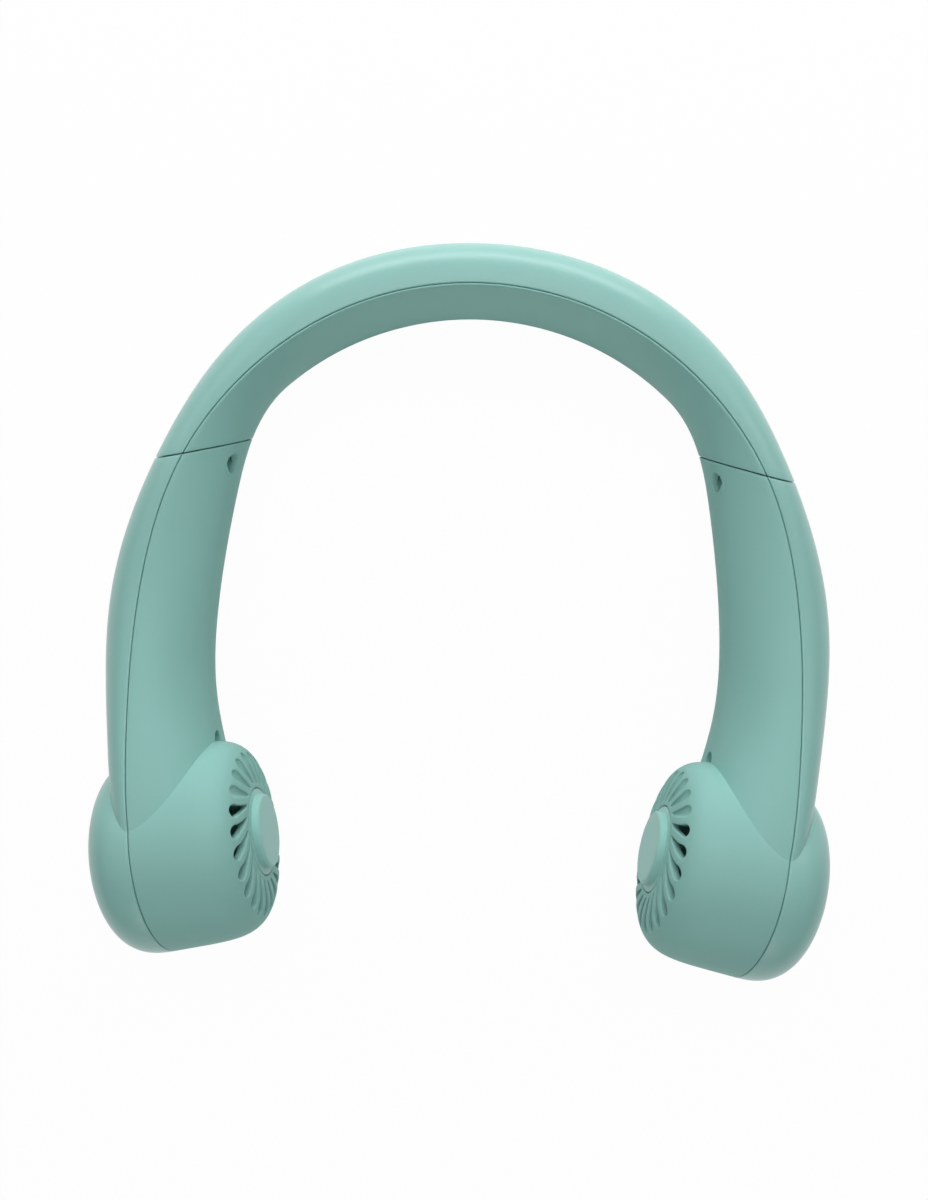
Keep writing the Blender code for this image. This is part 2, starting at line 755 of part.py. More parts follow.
def arch_shell(name, part, finish):
    """Arch from seam to seam."""
    sections = {"inner": (inner_section, inner_hollow), "outer": (outer_section, outer_hollow)}[part]
    reach = seam_length() + SEAM_MARGIN
    shell = new_object(name, *swept(sections[0], np.linspace(-reach, reach, ARCH_RINGS + 1)), finish)
    for side in SIDES.values():
        point, direction = seam_plane(side, GAP / 2)
        trim(shell, side, point, -direction)
    longer = reach + OVERRUN
    room = new_object(name + "_room", *swept(sections[1], np.linspace(-longer, longer, ARCH_RINGS + 1)))
    combine(shell, room, "DIFFERENCE")
    return shell


def pole_outline(start, turn):
    """A T-shaped pole from a distance out to the stator's edge, turned round the axis."""
    half, shoe = POLE_WIDTH / 2, STATOR_RADIUS * sin(pi / POLE_COUNT) * SHOE_SHARE
    edge = sqrt(STATOR_RADIUS ** 2 - shoe ** 2)
    under = edge - SHOE_THICKNESS
    outline = [(start, -half), (under, -half), (under, -shoe), (edge, -shoe), (STATOR_RADIUS, 0),
               (edge, shoe), (under, shoe), (under, half), (start, half)]
    return [(x * cos(turn) - y * sin(turn), x * sin(turn) + y * cos(turn)) for x, y in outline]


def motor_mount(name, parent, finish):
    """Spider that carries the bearing tube, held by its rim in the outer shell."""
    low = -MOUNT_DEPTH - MOUNT_THICKNESS
    room = HEAD_RADIUS - WALL
    share = (MOUNT_DEPTH + MOUNT_THICKNESS) / (HEAD_OUTER_BULGE - WALL)
    rim = room * (1 - share ** HEAD_OUTER_POWER) ** (1 / HEAD_OUTER_POWER) - MOUNT_PLAY
    ring = [(rim - MOUNT_RIM, low), (rim, low), (rim, -MOUNT_DEPTH), (rim - MOUNT_RIM, -MOUNT_DEPTH)]
    mount = new_object(name, *turned(ring, ROUND_SIDES), finish, parent)
    spokes = []
    start = TUBE_BORE + (TUBE_RADIUS - TUBE_BORE) / 2
    finish_at = rim - MOUNT_RIM / 2
    for number in range(SPOKE_COUNT):
        turn = Matrix.Rotation(2 * pi * (number + 0.5) / SPOKE_COUNT, 4, "Z")
        shift = Matrix.Translation(((start + finish_at) / 2, 0, 0))
        bar = prism(rectangle(finish_at - start, SPOKE_WIDTH), low + SPOKE_INSET, -MOUNT_DEPTH - SPOKE_INSET)
        spokes.append(moved(bar, turn @ shift))
    spoke_object = new_object(name + "_spokes", *joined(spokes), parent=parent)
    tube = [(TUBE_BORE, low), (TUBE_RADIUS, low), (TUBE_RADIUS, TUBE_TOP), (TUBE_BORE, TUBE_TOP)]
    tube_object = new_object(name + "_tube", *turned(tube, ROUND_SIDES), parent=parent)
    combine(mount, spoke_object, "UNION")
    combine(mount, tube_object, "UNION")
    bore = prism(circle(TUBE_BORE, ROUND_SIDES), low - OVERRUN, TUBE_TOP + OVERRUN)
    combine(mount, new_object(name + "_bore", *bore, parent=parent), "DIFFERENCE")
    return mount


def impeller(name, parent, hand, finish):
    """Double-inlet wheel: a hub over the motor bell, a disc, and swept blades on both of its sides."""
    inner = BELL_RADIUS + GAP
    outer = inner + HUB_WALL
    roof = BELL_TOP + GAP
    crown = roof + HUB_WALL
    disc_top = DISC_HEIGHT + DISC_THICKNESS
    rim = (BLADE_INNER_RADIUS + BLADE_OUTER_RADIUS) / 2
    hub = [(inner, BELL_BOTTOM + HUB_WALL), (outer, BELL_BOTTOM + HUB_WALL), (outer, DISC_HEIGHT),
           (rim, DISC_HEIGHT), (rim, disc_top), (outer, disc_top), (outer, crown - HUB_WALL / 2),
           (outer - HUB_WALL / 2, crown), (0, crown), (0, roof), (inner, roof)]
    wheel = new_object(name, *turned_cup(hub, ROUND_SIDES), finish, parent)
    blades = []
    for number in range(BLADE_COUNT):
        middle = 2 * pi * number / BLADE_COUNT
        blades.append(prism(blade_outline(middle, hand), BLADE_BOTTOM, BLADE_TOP))
    combine(wheel, new_object(name + "_blades", *joined(blades), parent=parent), "UNION")
    return wheel


def turned_cup(profile, sides):
    """A turned shape whose profile touches the axis twice in the middle of its list."""
    first = [index for index, (radius, _) in enumerate(profile) if radius == 0][1]
    return turned(profile[first:] + profile[:first], sides)


def blade_outline(middle, hand):
    one_side, other_side = [], []
    for step in range(BLADE_STEPS + 1):
        share = step / BLADE_STEPS
        radius = BLADE_INNER_RADIUS + share * (BLADE_OUTER_RADIUS - BLADE_INNER_RADIUS)
        angle = middle + hand * BLADE_SWEEP * share ** BLADE_CURVE_POWER
        half = BLADE_THICKNESS / 2 / radius
        one_side.append((radius * cos(angle - half), radius * sin(angle - half)))
        other_side.append((radius * cos(angle + half), radius * sin(angle + half)))
    return one_side + other_side[::-1]


def head_pieces(side_name, side, paint):
    """Everything on a head's axis."""
    axis = empty(side_name + "_fan_axis", head_matrix(side))
    for part in ("inner", "outer"):
        new_object(f"{side_name}_{part}_cap", *cap(part), paint["mint"], axis)
    motor_mount(side_name + "_motor_mount", axis, paint["grey"])
    stator(side_name + "_stator", axis, paint["copper"])
    bell_inner = BELL_RADIUS - BELL_WALL
    under = BELL_TOP - BELL_WALL
    eye = SHAFT_RADIUS + SHAFT_PLAY
    bell = [(bell_inner, BELL_BOTTOM), (BELL_RADIUS, BELL_BOTTOM), (BELL_RADIUS, BELL_TOP),
            (eye, BELL_TOP), (eye, under), (bell_inner, under)]
    new_object(side_name + "_rotor_bell", *turned(bell, ROUND_SIDES), paint["steel"], axis)
    low = -MOUNT_DEPTH - MOUNT_THICKNESS
    new_object(side_name + "_motor_shaft", *prism(circle(SHAFT_RADIUS, SMALL_SIDES), low, BELL_TOP),
               paint["steel"], axis)
    for place, start in (("lower", low + GAP), ("upper", TUBE_TOP - GAP - BEARING_HEIGHT)):
        ring = [(BEARING_BORE, start), (BEARING_RADIUS, start), (BEARING_RADIUS, start + BEARING_HEIGHT),
                (BEARING_BORE, start + BEARING_HEIGHT)]
        new_object(f"{side_name}_{place}_bearing", *turned(ring, SMALL_SIDES + 2), paint["steel"], axis)
    impeller(side_name + "_impeller", axis, side, paint["mint"])


def stator(name, parent, finish):
    """Poles round a core whose bore slides over the bearing tube."""
    bore = TUBE_RADIUS + GAP
    core = TUBE_RADIUS + (STATOR_RADIUS - TUBE_RADIUS) * CORE_SHARE
    low, high = -STATOR_HALF_HEIGHT, STATOR_HALF_HEIGHT
    made = new_object(name, *turned([(bore, low), (core, low), (core, high), (bore, high)], ROUND_SIDES),
                      finish, parent)
    start = (bore + core) / 2
    poles = [prism(pole_outline(start, 2 * pi * pole / POLE_COUNT), low + SPOKE_INSET, high - SPOKE_INSET)
             for pole in range(POLE_COUNT)]
    combine(made, new_object(name + "_poles", *joined(poles), parent=parent), "UNION")
    return made


def cell(name, side, finish):
    """Round cell lying along an arm."""
    along = BAND.where(CELL_MIDDLE_Y)
    reach = CELL_LENGTH / 2
    first = BAND.at(along - reach)[0]
    last = BAND.at(along + reach)[0]
    place, outwards = BAND.at(along)[:2]
    chord = (first - last) / np.linalg.norm(first - last)
    middle = (first + last) / 4 + place / 2 - CELL_INWARD * outwards
    axis = Vector((side * chord[0], chord[1], 0))
    up = Vector((0, 0, 1))
    turn = Matrix((up.cross(axis), up, axis)).transposed().to_4x4()
    shoulder = CELL_RADIUS - CELL_BEVEL
    profile = [(0, -reach), (shoulder, -reach), (CELL_RADIUS, CELL_BEVEL - reach),
               (CELL_RADIUS, reach - CELL_BEVEL), (shoulder, reach), (TERMINAL_RADIUS, reach), (TERMINAL_RADIUS, reach + TERMINAL_HEIGHT),
               (0, reach + TERMINAL_HEIGHT)]
    made = new_object(name, *turned(profile, ROUND_SIDES), finish)
    made.matrix_world = Matrix.Translation((side * middle[0], middle[1], CELL_HEIGHT)) @ turn
    return made


def control_matrix():
    """Control axes: origin in the right arm's outer surface, local X towards the arch, local Z outwards."""
    along = BAND.where(CONTROL_Y)
    place, outwards, middle, (outer, inner, half_depth, crease) = BAND.at(along)
    out = outer * (1 - CONTROL_DROP_SHARE ** DOME_POWER) ** (1 / DOME_POWER)
    down = CONTROL_DROP_SHARE * half_depth
    slope_out = (out / outer) ** (DOME_POWER - 1) / outer
    slope_down = CONTROL_DROP_SHARE ** (DOME_POWER - 1) / half_depth
    normal = Vector((outwards[0] * slope_out, outwards[1] * slope_out, -slope_down)).normalized()
    arm = Vector((-outwards[1], outwards[0], 0))
    across = normal.cross(arm)
    turn = Matrix((arm, across, normal)).transposed().to_4x4()
    x, y = place + out * outwards
    return Matrix.Translation((x, y, middle - down)) @ turn


def control_cutters():
    """Holes for the button, the lights and the charging port."""
    top = WALL
    bottom = -CONTROL_HOLE_DEPTH
    shapes = [prism(circle(BUTTON_RADIUS + GAP, ROUND_SIDES, BUTTON_ALONG), bottom, top)]
    for x in light_places():
        shapes.append(prism(circle(LIGHT_RADIUS + LIGHT_PLAY, SMALL_SIDES, x), bottom, top))
    outline = rounded_rectangle(PORT_WIDTH + 2 * GAP, PORT_HEIGHT + 2 * GAP)
    shapes.append(prism([(PORT_ALONG + x, y) for x, y in outline], bottom, top))
    return joined(shapes)


def light_places():
    return [LIGHT_PITCH * (number - (LIGHT_COUNT - 1) / 2) for number in range(LIGHT_COUNT)]


def stacked(name, shapes, finish, parent):
    """One solid from shapes that overlap each other."""
    made = new_object(name, *shapes[0], finish, parent)
    for number, shape in enumerate(shapes[1:]):
        combine(made, new_object(f"{name}_form_{number}", *shape, parent=parent), "UNION")
    return made


def controls(paint):
    """Button, lights, port and their board, along the outside of the right arm."""
    row = empty("control_row", control_matrix())
    board_top = -BOARD_DEPTH + BOARD_THICKNESS
    new_object("control_board", *prism(rectangle(BOARD_LENGTH, BOARD_WIDTH), -BOARD_DEPTH, board_top),
               paint["board"], row)
    switch_low = board_top + GAP
    switch_top = switch_low + SWITCH_HEIGHT
    switch_body = prism([(BUTTON_ALONG + x, y) for x, y in rectangle(SWITCH_WIDTH, SWITCH_WIDTH)],
                        switch_low, switch_top)
    plunger_top = switch_top + PLUNGER_HEIGHT
    plunger = prism(circle(PLUNGER_RADIUS, SMALL_SIDES, BUTTON_ALONG), switch_top - GAP, plunger_top)
    stacked("tact_switch", [switch_body, plunger], paint["black"], row)
    button(row, plunger_top, paint["grey"])
    bar_top = -CONTROL_BACK
    bar_low = bar_top - LIGHT_BAR_THICKNESS
    length = LIGHT_PITCH * LIGHT_COUNT
    foot = board_top + GAP
    end, knee = length / 2, length / 2 - LIGHT_BAR_THICKNESS
    bridge = [(-end, foot), (-knee, foot), (-knee, bar_low), (knee, bar_low), (knee, foot), (end, foot),
              (end, bar_top), (-end, bar_top)]
    bar = skin([[(x, y, z) for x, z in bridge] for y in (-LIGHT_BAR_WIDTH / 2, LIGHT_BAR_WIDTH / 2)])
    pins = [prism(circle(LIGHT_RADIUS, SMALL_SIDES, x), bar_low + GAP, 0) for x in light_places()]
    stacked("light_guide", [bar, joined(pins)], paint["clear"], row)
    port(row, board_top + GAP, paint["steel"])


def button(row, plunger_top, finish):
    """Domed cap with a flange behind the wall and a stem that stops short of the switch by its travel."""
    place = empty("power_button_axis", Matrix.Identity(4))
    place.parent = row
    place.location = (BUTTON_ALONG, 0, 0)
    under = -CONTROL_BACK
    stem_low = plunger_top + BUTTON_TRAVEL + GAP
    flange_low = under - BUTTON_FLANGE_THICKNESS
    profile = [(0, stem_low), (BUTTON_STEM_RADIUS, stem_low), (BUTTON_STEM_RADIUS, flange_low),
               (BUTTON_RADIUS + BUTTON_FLANGE, flange_low), (BUTTON_RADIUS + BUTTON_FLANGE, under),
               (BUTTON_RADIUS, under), (BUTTON_RADIUS, 0)]
    profile += [(BUTTON_RADIUS * out, BUTTON_RISE * up) for out, up in BUTTON_DOME_SHARES] + [(0, BUTTON_RISE)]
    return new_object("power_button", *turned(profile, ROUND_SIDES), finish, place)


def port(row, low, finish):
    """Charging receptacle: a sheet-metal mouth round a flat tongue."""
    top = -PORT_SINK
    floor = low + (top - low) * PORT_FLOOR_SHARE
    at = Matrix.Translation((PORT_ALONG, 0, 0))
    outside = rounded_rectangle(PORT_WIDTH, PORT_HEIGHT)
    mouth = rounded_rectangle(PORT_WIDTH - 2 * PORT_SHEET, PORT_HEIGHT - 2 * PORT_SHEET)
    rings = [[(x, y, z) for x, y in outline] for outline, z in
             ((outside, low), (outside, top), (mouth, top), (mouth, floor))]
    made = new_object("usb_c_port", *moved(skin(rings), at), finish, row)
    tongue = prism(rectangle(PORT_TONGUE_WIDTH, PORT_TONGUE_THICKNESS), floor - GAP, top - 2 * PORT_SHEET)
    combine(made, new_object("usb_c_port_tongue", *moved(tongue, at), parent=row), "UNION")
    return made


def lead_section(sizes, inset):
    """Flat lead against the inside of the outer wall."""
    outer, half_depth = sizes[0], sizes[2]
    reach = LEAD_WIDTH / 2
    share = (reach + LEAD_DROP) / (half_depth - WALL)
    edge = (outer - WALL) * (1 - share ** DOME_POWER) ** (1 / DOME_POWER) - LEAD_CLEARANCE
    out = edge + GAP
    section = [(edge, reach), (out, 0), (edge, -reach), (edge - LEAD_THICKNESS, -reach), (out - LEAD_THICKNESS, 0),
               (edge - LEAD_THICKNESS, reach)]
    return [(x, y - LEAD_DROP) for x, y in section]


def main():
    for old in list(bpy.data.objects):
        bpy.data.objects.remove(old)
    paint = {
        "mint": material("mint_plastic", (0.305, 0.578, 0.515), 0.42),
        "grey": material("grey_plastic", (0.42, 0.45, 0.45), 0.5),
        "steel": material("steel", (0.62, 0.62, 0.63), 0.3, 1.0),
        "copper": material("copper_winding", (0.60, 0.28, 0.12), 0.4, 1.0),
        "black": material("black_plastic", (0.03, 0.03, 0.03), 0.5),
        "board": material("green_board", (0.02, 0.16, 0.06), 0.45),
        "clear": material("light_guide_plastic", (0.88, 0.90, 0.90), 0.2),
        "cell": material("cell_sleeve", (0.05, 0.20, 0.45), 0.4),
    }
    arch_shell("arch_outer_shell", "outer", paint["mint"])
    arch_shell("arch_inner_shell", "inner", paint["mint"])
    for side_name, side in SIDES.items():
        for part in ("outer", "inner"):
            shell = arm_shell(f"{side_name}_{part}_shell", side, part, paint["mint"])
            bosses(shell, side, part)
            grille(shell, side, part)
            if side_name == "right" and part == "outer":
                cutters = new_object("control_holes", *moved(control_cutters(), control_matrix()))
                combine(shell, cutters, "DIFFERENCE")
        head_pieces(side_name, side, paint)
        for name, place in screw_places(side).items():
            made = new_object(f"{side_name}_{name}_screw", *screw(), paint["steel"])
            made.matrix_world = place
        cell(f"{side_name}_cell", side, paint["cell"])
    controls(paint)
    reach = BAND.where(LEAD_END_Y)
    lead = swept(lead_section, np.linspace(-reach, reach, LEAD_RINGS))
    new_object("cross_lead", *lead, paint["black"])
    for made in bpy.data.objects:
        if not made.parent:
            made.location.y += middle_shift()


main()
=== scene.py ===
"""Neck fan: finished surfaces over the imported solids, laid out as an add-on.

Everything is in metres in the frame's own axes: +Z up out of the flat plan, +Y towards the arch.
"""

import json
from math import acos, cos, pi, radians, sin, tan

import bmesh
import bpy
import numpy as np
from mathutils import Matrix, Vector


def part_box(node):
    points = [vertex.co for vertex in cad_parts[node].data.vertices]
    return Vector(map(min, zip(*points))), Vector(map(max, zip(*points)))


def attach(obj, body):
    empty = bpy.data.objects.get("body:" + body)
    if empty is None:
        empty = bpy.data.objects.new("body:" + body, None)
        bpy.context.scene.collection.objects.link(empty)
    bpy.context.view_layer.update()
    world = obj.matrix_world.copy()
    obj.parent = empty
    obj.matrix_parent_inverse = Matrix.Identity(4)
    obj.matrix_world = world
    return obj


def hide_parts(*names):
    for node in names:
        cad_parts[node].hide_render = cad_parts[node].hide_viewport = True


bl_info = {
    "name": "Neck fan",
    "version": (1, 0, 0),
    "blender": (4, 5, 0),
    "location": "3D View > Sidebar > Neck fan",
    "description": "Makes the finished surfaces, materials and studio of a neck fan round its packed solids",
    "category": "Object",
}

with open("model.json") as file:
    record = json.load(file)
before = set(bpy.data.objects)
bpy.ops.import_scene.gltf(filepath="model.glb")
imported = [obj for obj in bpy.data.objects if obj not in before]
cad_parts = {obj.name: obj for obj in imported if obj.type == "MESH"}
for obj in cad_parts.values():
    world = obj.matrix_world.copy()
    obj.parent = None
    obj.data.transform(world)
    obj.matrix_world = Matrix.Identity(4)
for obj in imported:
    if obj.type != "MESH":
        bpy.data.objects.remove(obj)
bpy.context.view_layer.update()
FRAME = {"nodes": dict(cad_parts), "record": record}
NODES = FRAME["nodes"]
SLOTS = {row["slot"]: row for row in FRAME["record"]["materials"]}
SIDES = {"right": 1, "left": -1}
PARTS = ("outer", "inner")

# Plan of the parting surface, right side, before it is centred
ARCH_RADIUS = 0.0862
ARM_SPREAD = 0.0868
ARM_WIDEST_Y = 0.001
LOWER_ARM = (0.0856, -0.0359)
HEAD_X = 0.0793
HEAD_Y = -0.0698
HEAD_TILT = radians(12.6)
HEAD_ENTRY = 0.010
ARCH_STATION_ANGLES = (radians(26.5), radians(47.5), radians(64.5))

# Sections of the band, with shares and powers from the top of the arch to the head
OUTER_BULGE = 0.0150
INNER_BULGE = 0.0163
ARCH_HALF_DEPTH = 0.0156
ARM_HALF_DEPTH = 0.0246
OUTER_BULGE_SHARES = (1.0, 1.0, 0.84, 0.68, 0.809, 0.67, 0.55, 0.50)
INNER_BULGE_SHARES = (0.03, 0.05, 0.28, 0.72, 0.95, 1.0, 1.08, 1.1)
DEPTH_GROWTH_SHARES = (0.0, 0.0, 0.02, 0.1, 0.26, 0.72, 1.0, 1.05)
LIFT_SHARES = (0.0, 0.0, 0.0, 0.0, 0.0, 0.25, 1.0, 1.0)
CREASE_SHARES = (1.0, 1.0, 1.0, 1.25, 1.7, 2.0, 1.5, 1.4)
DOME_POWER = 2.15
INNER_POWERS = (2.2, 2.2, 2.2, 2.2, 2.2, 2.3, 6.0, 8.0)
BEND_SPREAD = 0.35
ARCH_ROWS = 120
ARM_ROWS = 64

# Seams, walls and heads
SEAM_ANGLE = radians(63.8)
SEAM_ALONG = ARCH_RADIUS * SEAM_ANGLE
SEAM_REACH = 0.02
SEAM_LIP_SHARE = 0.6
HEAD_SEARCH = 0.03
SEAM_RISE = radians(11.8)
SEAM_LEAN = radians(13.2)
WALL = 0.0020
SPIGOT_PLAY = 0.0001
SPIGOT_WALL = 0.0008
SPIGOT_REACH = 0.0025
HEAD_HEIGHT = 0.0270
HEAD_RADIUS = 0.02687
HEAD_DEPTHS = {"inner": 0.0262, "outer": 0.0162}
HEAD_POWERS = {"inner": 5.5, "outer": 2.8}
ARM_SINK = 0.001

# Caps and grilles
FLANGE_THICKNESS = 0.0011
CAP_RADIUS = HEAD_RADIUS * 0.37
FLANGE_RADIUS = CAP_RADIUS + 0.0017
CAP_RISE = 0.0021
CAP_FILLET = 0.0003
CAP_RIM = 0.0002
SEAT_DROP = 0.0003
SEAT_PLAY = 0.00025
SEAT_EDGE = 0.0002
SLOT_COUNT = 24
SLOT_ENDS = {"inner": HEAD_RADIUS * 0.822, "outer": HEAD_RADIUS * 0.66}
SLOT_START = HEAD_RADIUS * 0.489
SLOT_SWIRL = radians(15)
SLOT_TAPER_POWER = 0.85
SCOOPS_EACH_WAY = 3.5
SCOOP_RINGS = (0.82, 0.55, 0.25)
SCOOP_PULL = 0.45
SCOOP_BOWL = (0.75, 0.35)
SCOOP_LIMIT = 1.2
GRILLE_MARGIN = 0.001
GRILLE_INNER_RADIUS = 0.0127
DRUM_SIDES = 192
HUB_SIDES = 96

# Wheels
BLADE_COUNT = 13
BLADE_RADII = (HEAD_RADIUS * 0.511, HEAD_RADIUS * 0.7925)
BLADE_THICKNESS = 0.0007
BLADE_SWEEP = radians(26)
BLADE_CURVE_POWER = 1.5
BLADE_HEIGHTS = (-0.0030, 0.0140)
BLADE_TIP_SHARE = 0.35
BLADE_EASE = 12
HUB_RADII = (HEAD_RADIUS * 0.385 + 0.0003, HEAD_RADIUS * 0.385 + 0.0013)
HUB_HEIGHTS = (-0.0036, 0.0095, 0.0105)
HUB_EASE = 0.0004
DISC_HEIGHTS = (0.0045, 0.0055)

# Screws
SCREW_HOLE_RADIUS = 0.0026
SCREW_HOLE_DEPTH = 0.0058
SCREW_CUT_DEPTH = 0.0045
SCREW_CUT_EDGE = 0.0003
SCREW_RADIUS = 0.0013
SCREW_CORE_SHARE = 0.8
SCREW_HEAD_RADIUS = 0.0022
SCREW_HEAD_HEIGHT = 0.0014
SCREW_HEAD_EDGE = 0.0006
SCREW_LENGTH = 0.0090
SCREW_LIFT = 0.0003
SCREW_TIP = 0.0006
THREAD_PITCH = 0.0009
THREAD_TURNS = 8
CROSS_REACH = 0.0013
CROSS_HALF = 0.00026
CROSS_LEVELS = ((0.7, -0.0008), (1.05, 0.0004))
SLEEVE_RADII = (0.0016, 0.00262, 0.0036)
SLEEVE_LEVELS = (-0.0012, -0.0016)
SLEEVE_FOOT = 0.0016
SCREW_PLACES = (("upper", ARCH_RADIUS * cos(SEAM_ANGLE) - 0.00126, 0.0215), ("lower", -0.0405, 0.0225))

# Button, lights and charging port
CONTROL_Y = -0.010
CONTROL_DROP_SHARE = 0.6
CONTROL_CUT_DEPTH = 0.005
CONTROL_CUT_EDGE = 0.00025
CUTTER_HEIGHT = 0.004
CUTTER_SPREAD = 1.02
SKIN_SEARCH = 0.006
BUTTON_ALONG = 0.0115
BUTTON_RADIUS = 0.0034
BUTTON_PLAY = 0.0002
BUTTON_RISE = 0.0006
BUTTON_DISH_SHARE = 0.9
BUTTON_BACK = 0.0034
BUTTON_EDGE = 0.0003
BUTTON_FLANGE = (0.0007, 0.0008)
BUTTON_STEM = (0.0014, -0.0047)
LIGHT_PITCH = 0.0030
LIGHT_COUNT = 4
LIGHT_RADIUS = 0.0007
LIGHT_PLAY = 0.0001
PORT_ALONG = -0.0125
PORT_WIDTH = 0.00894
PORT_HEIGHT = 0.00326
PORT_PLAY = 0.0006
PORT_SHEET = 0.0003
PORT_SINK = 0.0010
PORT_FLOOR = -0.0052
PORT_BACK = -0.0073
PORT_TONGUE = (0.0067, 0.0007)

# Camera and studio
CAMERA_POINT = (-0.00104, 0.00163, 0.037)
CAMERA_DISTANCE = 0.2357
CAMERA_PITCH = radians(0.865)
CAMERA_YAW = radians(-0.738)
CAMERA_ROLL = radians(-2.362)
CAMERA_LENS = 27.06
FLOOR_REACH = 3.0
FLOOR_HEIGHT = -0.0002
FLOOR_WHITE_SHARE = 0.97
LAMP_AIM = (0, 0, 0.02)
LAMPS = (
    ("top_lamp", (0.0, 0.30, 0.60), (0.5, 0.5), 1.83),
    ("back_lamp", (0.0, 0.60, 0.11), (0.7, 0.14), 2.0),
    ("left_lamp", (-0.55, 0.45, 0.45), (0.4, 0.4), 0.88),
    ("right_lamp", (0.55, 0.45, 0.45), (0.4, 0.4), 0.97),
    ("front_lamp", (0.0, -1.1, 0.6), (0.8, 0.8), 3.95),
)

SHIFT_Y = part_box("arch_outer_shell")[1].y - ARCH_RADIUS - OUTER_BULGE


def length(label, description, default, low, high):
    return bpy.props.FloatProperty(
        name=label, description=description, default=default, min=low, max=high, subtype="DISTANCE",
        unit="LENGTH")


class NeckFanSizes(bpy.types.PropertyGroup):
    """Sizes of the finishing work that the solids leave out."""

    gap: length("Gap", "Width of the line between the two shells of an arm", 0.00018, 0.0001, 0.001)
    seam: length("Seam", "Width of the line between the arch and each arm", 0.00032, 0.0001, 0.001)
    lip: length("Shell edge", "Radius of the rounding along the shells' edges", 0.00032, 0.0001, 0.0009)
    slot_width: length("Slot width", "Width of a grille slot near its outer end", 0.0034, 0.001, 0.0042)
    slot_tip: length("Slot tip", "Width of a grille slot at its inner end", 0.0010, 0.0004, 0.002)
    slot_lip: length("Slot edge", "Radius of the rounding round each slot", 0.00035, 0.0001, 0.0006)
    scoop: length("Scoop depth", "Depth of the blind slots next to the arm", 0.0011, 0.0003, 0.0016)
    cap_edge: length("Cap edge", "Radius of the rounded edge of each round cap", 0.0009, 0.0003, 0.002)


def slot_colour(name):
    return tuple(SLOTS[name]["base_color"][:3])


def tint(label, description, default):
    return bpy.props.FloatVectorProperty(
        name=label, description=description, subtype="COLOR", size=3, min=0, max=1, default=default)


class NeckFanColours(bpy.types.PropertyGroup):
    """Colours of the finishes."""

    shell: tint("Shells", "Moulded shells and caps", (0.296, 0.573, 0.524))
    inside: tint("Wheel", "Impellers", slot_colour("mint_plastic"))
    frame: tint("Motor mount", "Motor mounts and button", slot_colour("grey_plastic"))
    metal: tint("Metal", "Screws, bearings, bells, shafts and the receptacle", slot_colour("steel"))
    sleeve: tint("Cell sleeve", "Shrink sleeve of the cells", slot_colour("cell_sleeve"))


def sizes():
    return bpy.context.scene.neck_fan_sizes


def bends(knots, rows):
    """Second slopes of natural cubic splines through rows of values at the knots."""
    span = np.diff(knots)
    count = len(knots)
    matrix = np.eye(count)
    right = np.zeros((count, len(rows)))
    slope = np.diff(rows, axis=1) / span
    for row in range(1, count - 1):
        matrix[row, row - 1:row + 2] = span[row - 1], 2 * (span[row - 1] + span[row]), span[row]
        right[row] = 6 * (slope[:, row] - slope[:, row - 1])
    return np.linalg.solve(matrix, right).T


def bisect(test, low, high, halvings=34):
    """Where a test that holds at the low ends stops holding, for several values at once."""
    for _ in range(halvings):
        middle = (low + high) / 2
        holds = test(middle)
        low, high = np.where(holds, middle, low), np.where(holds, high, middle)
    return (low + high) / 2


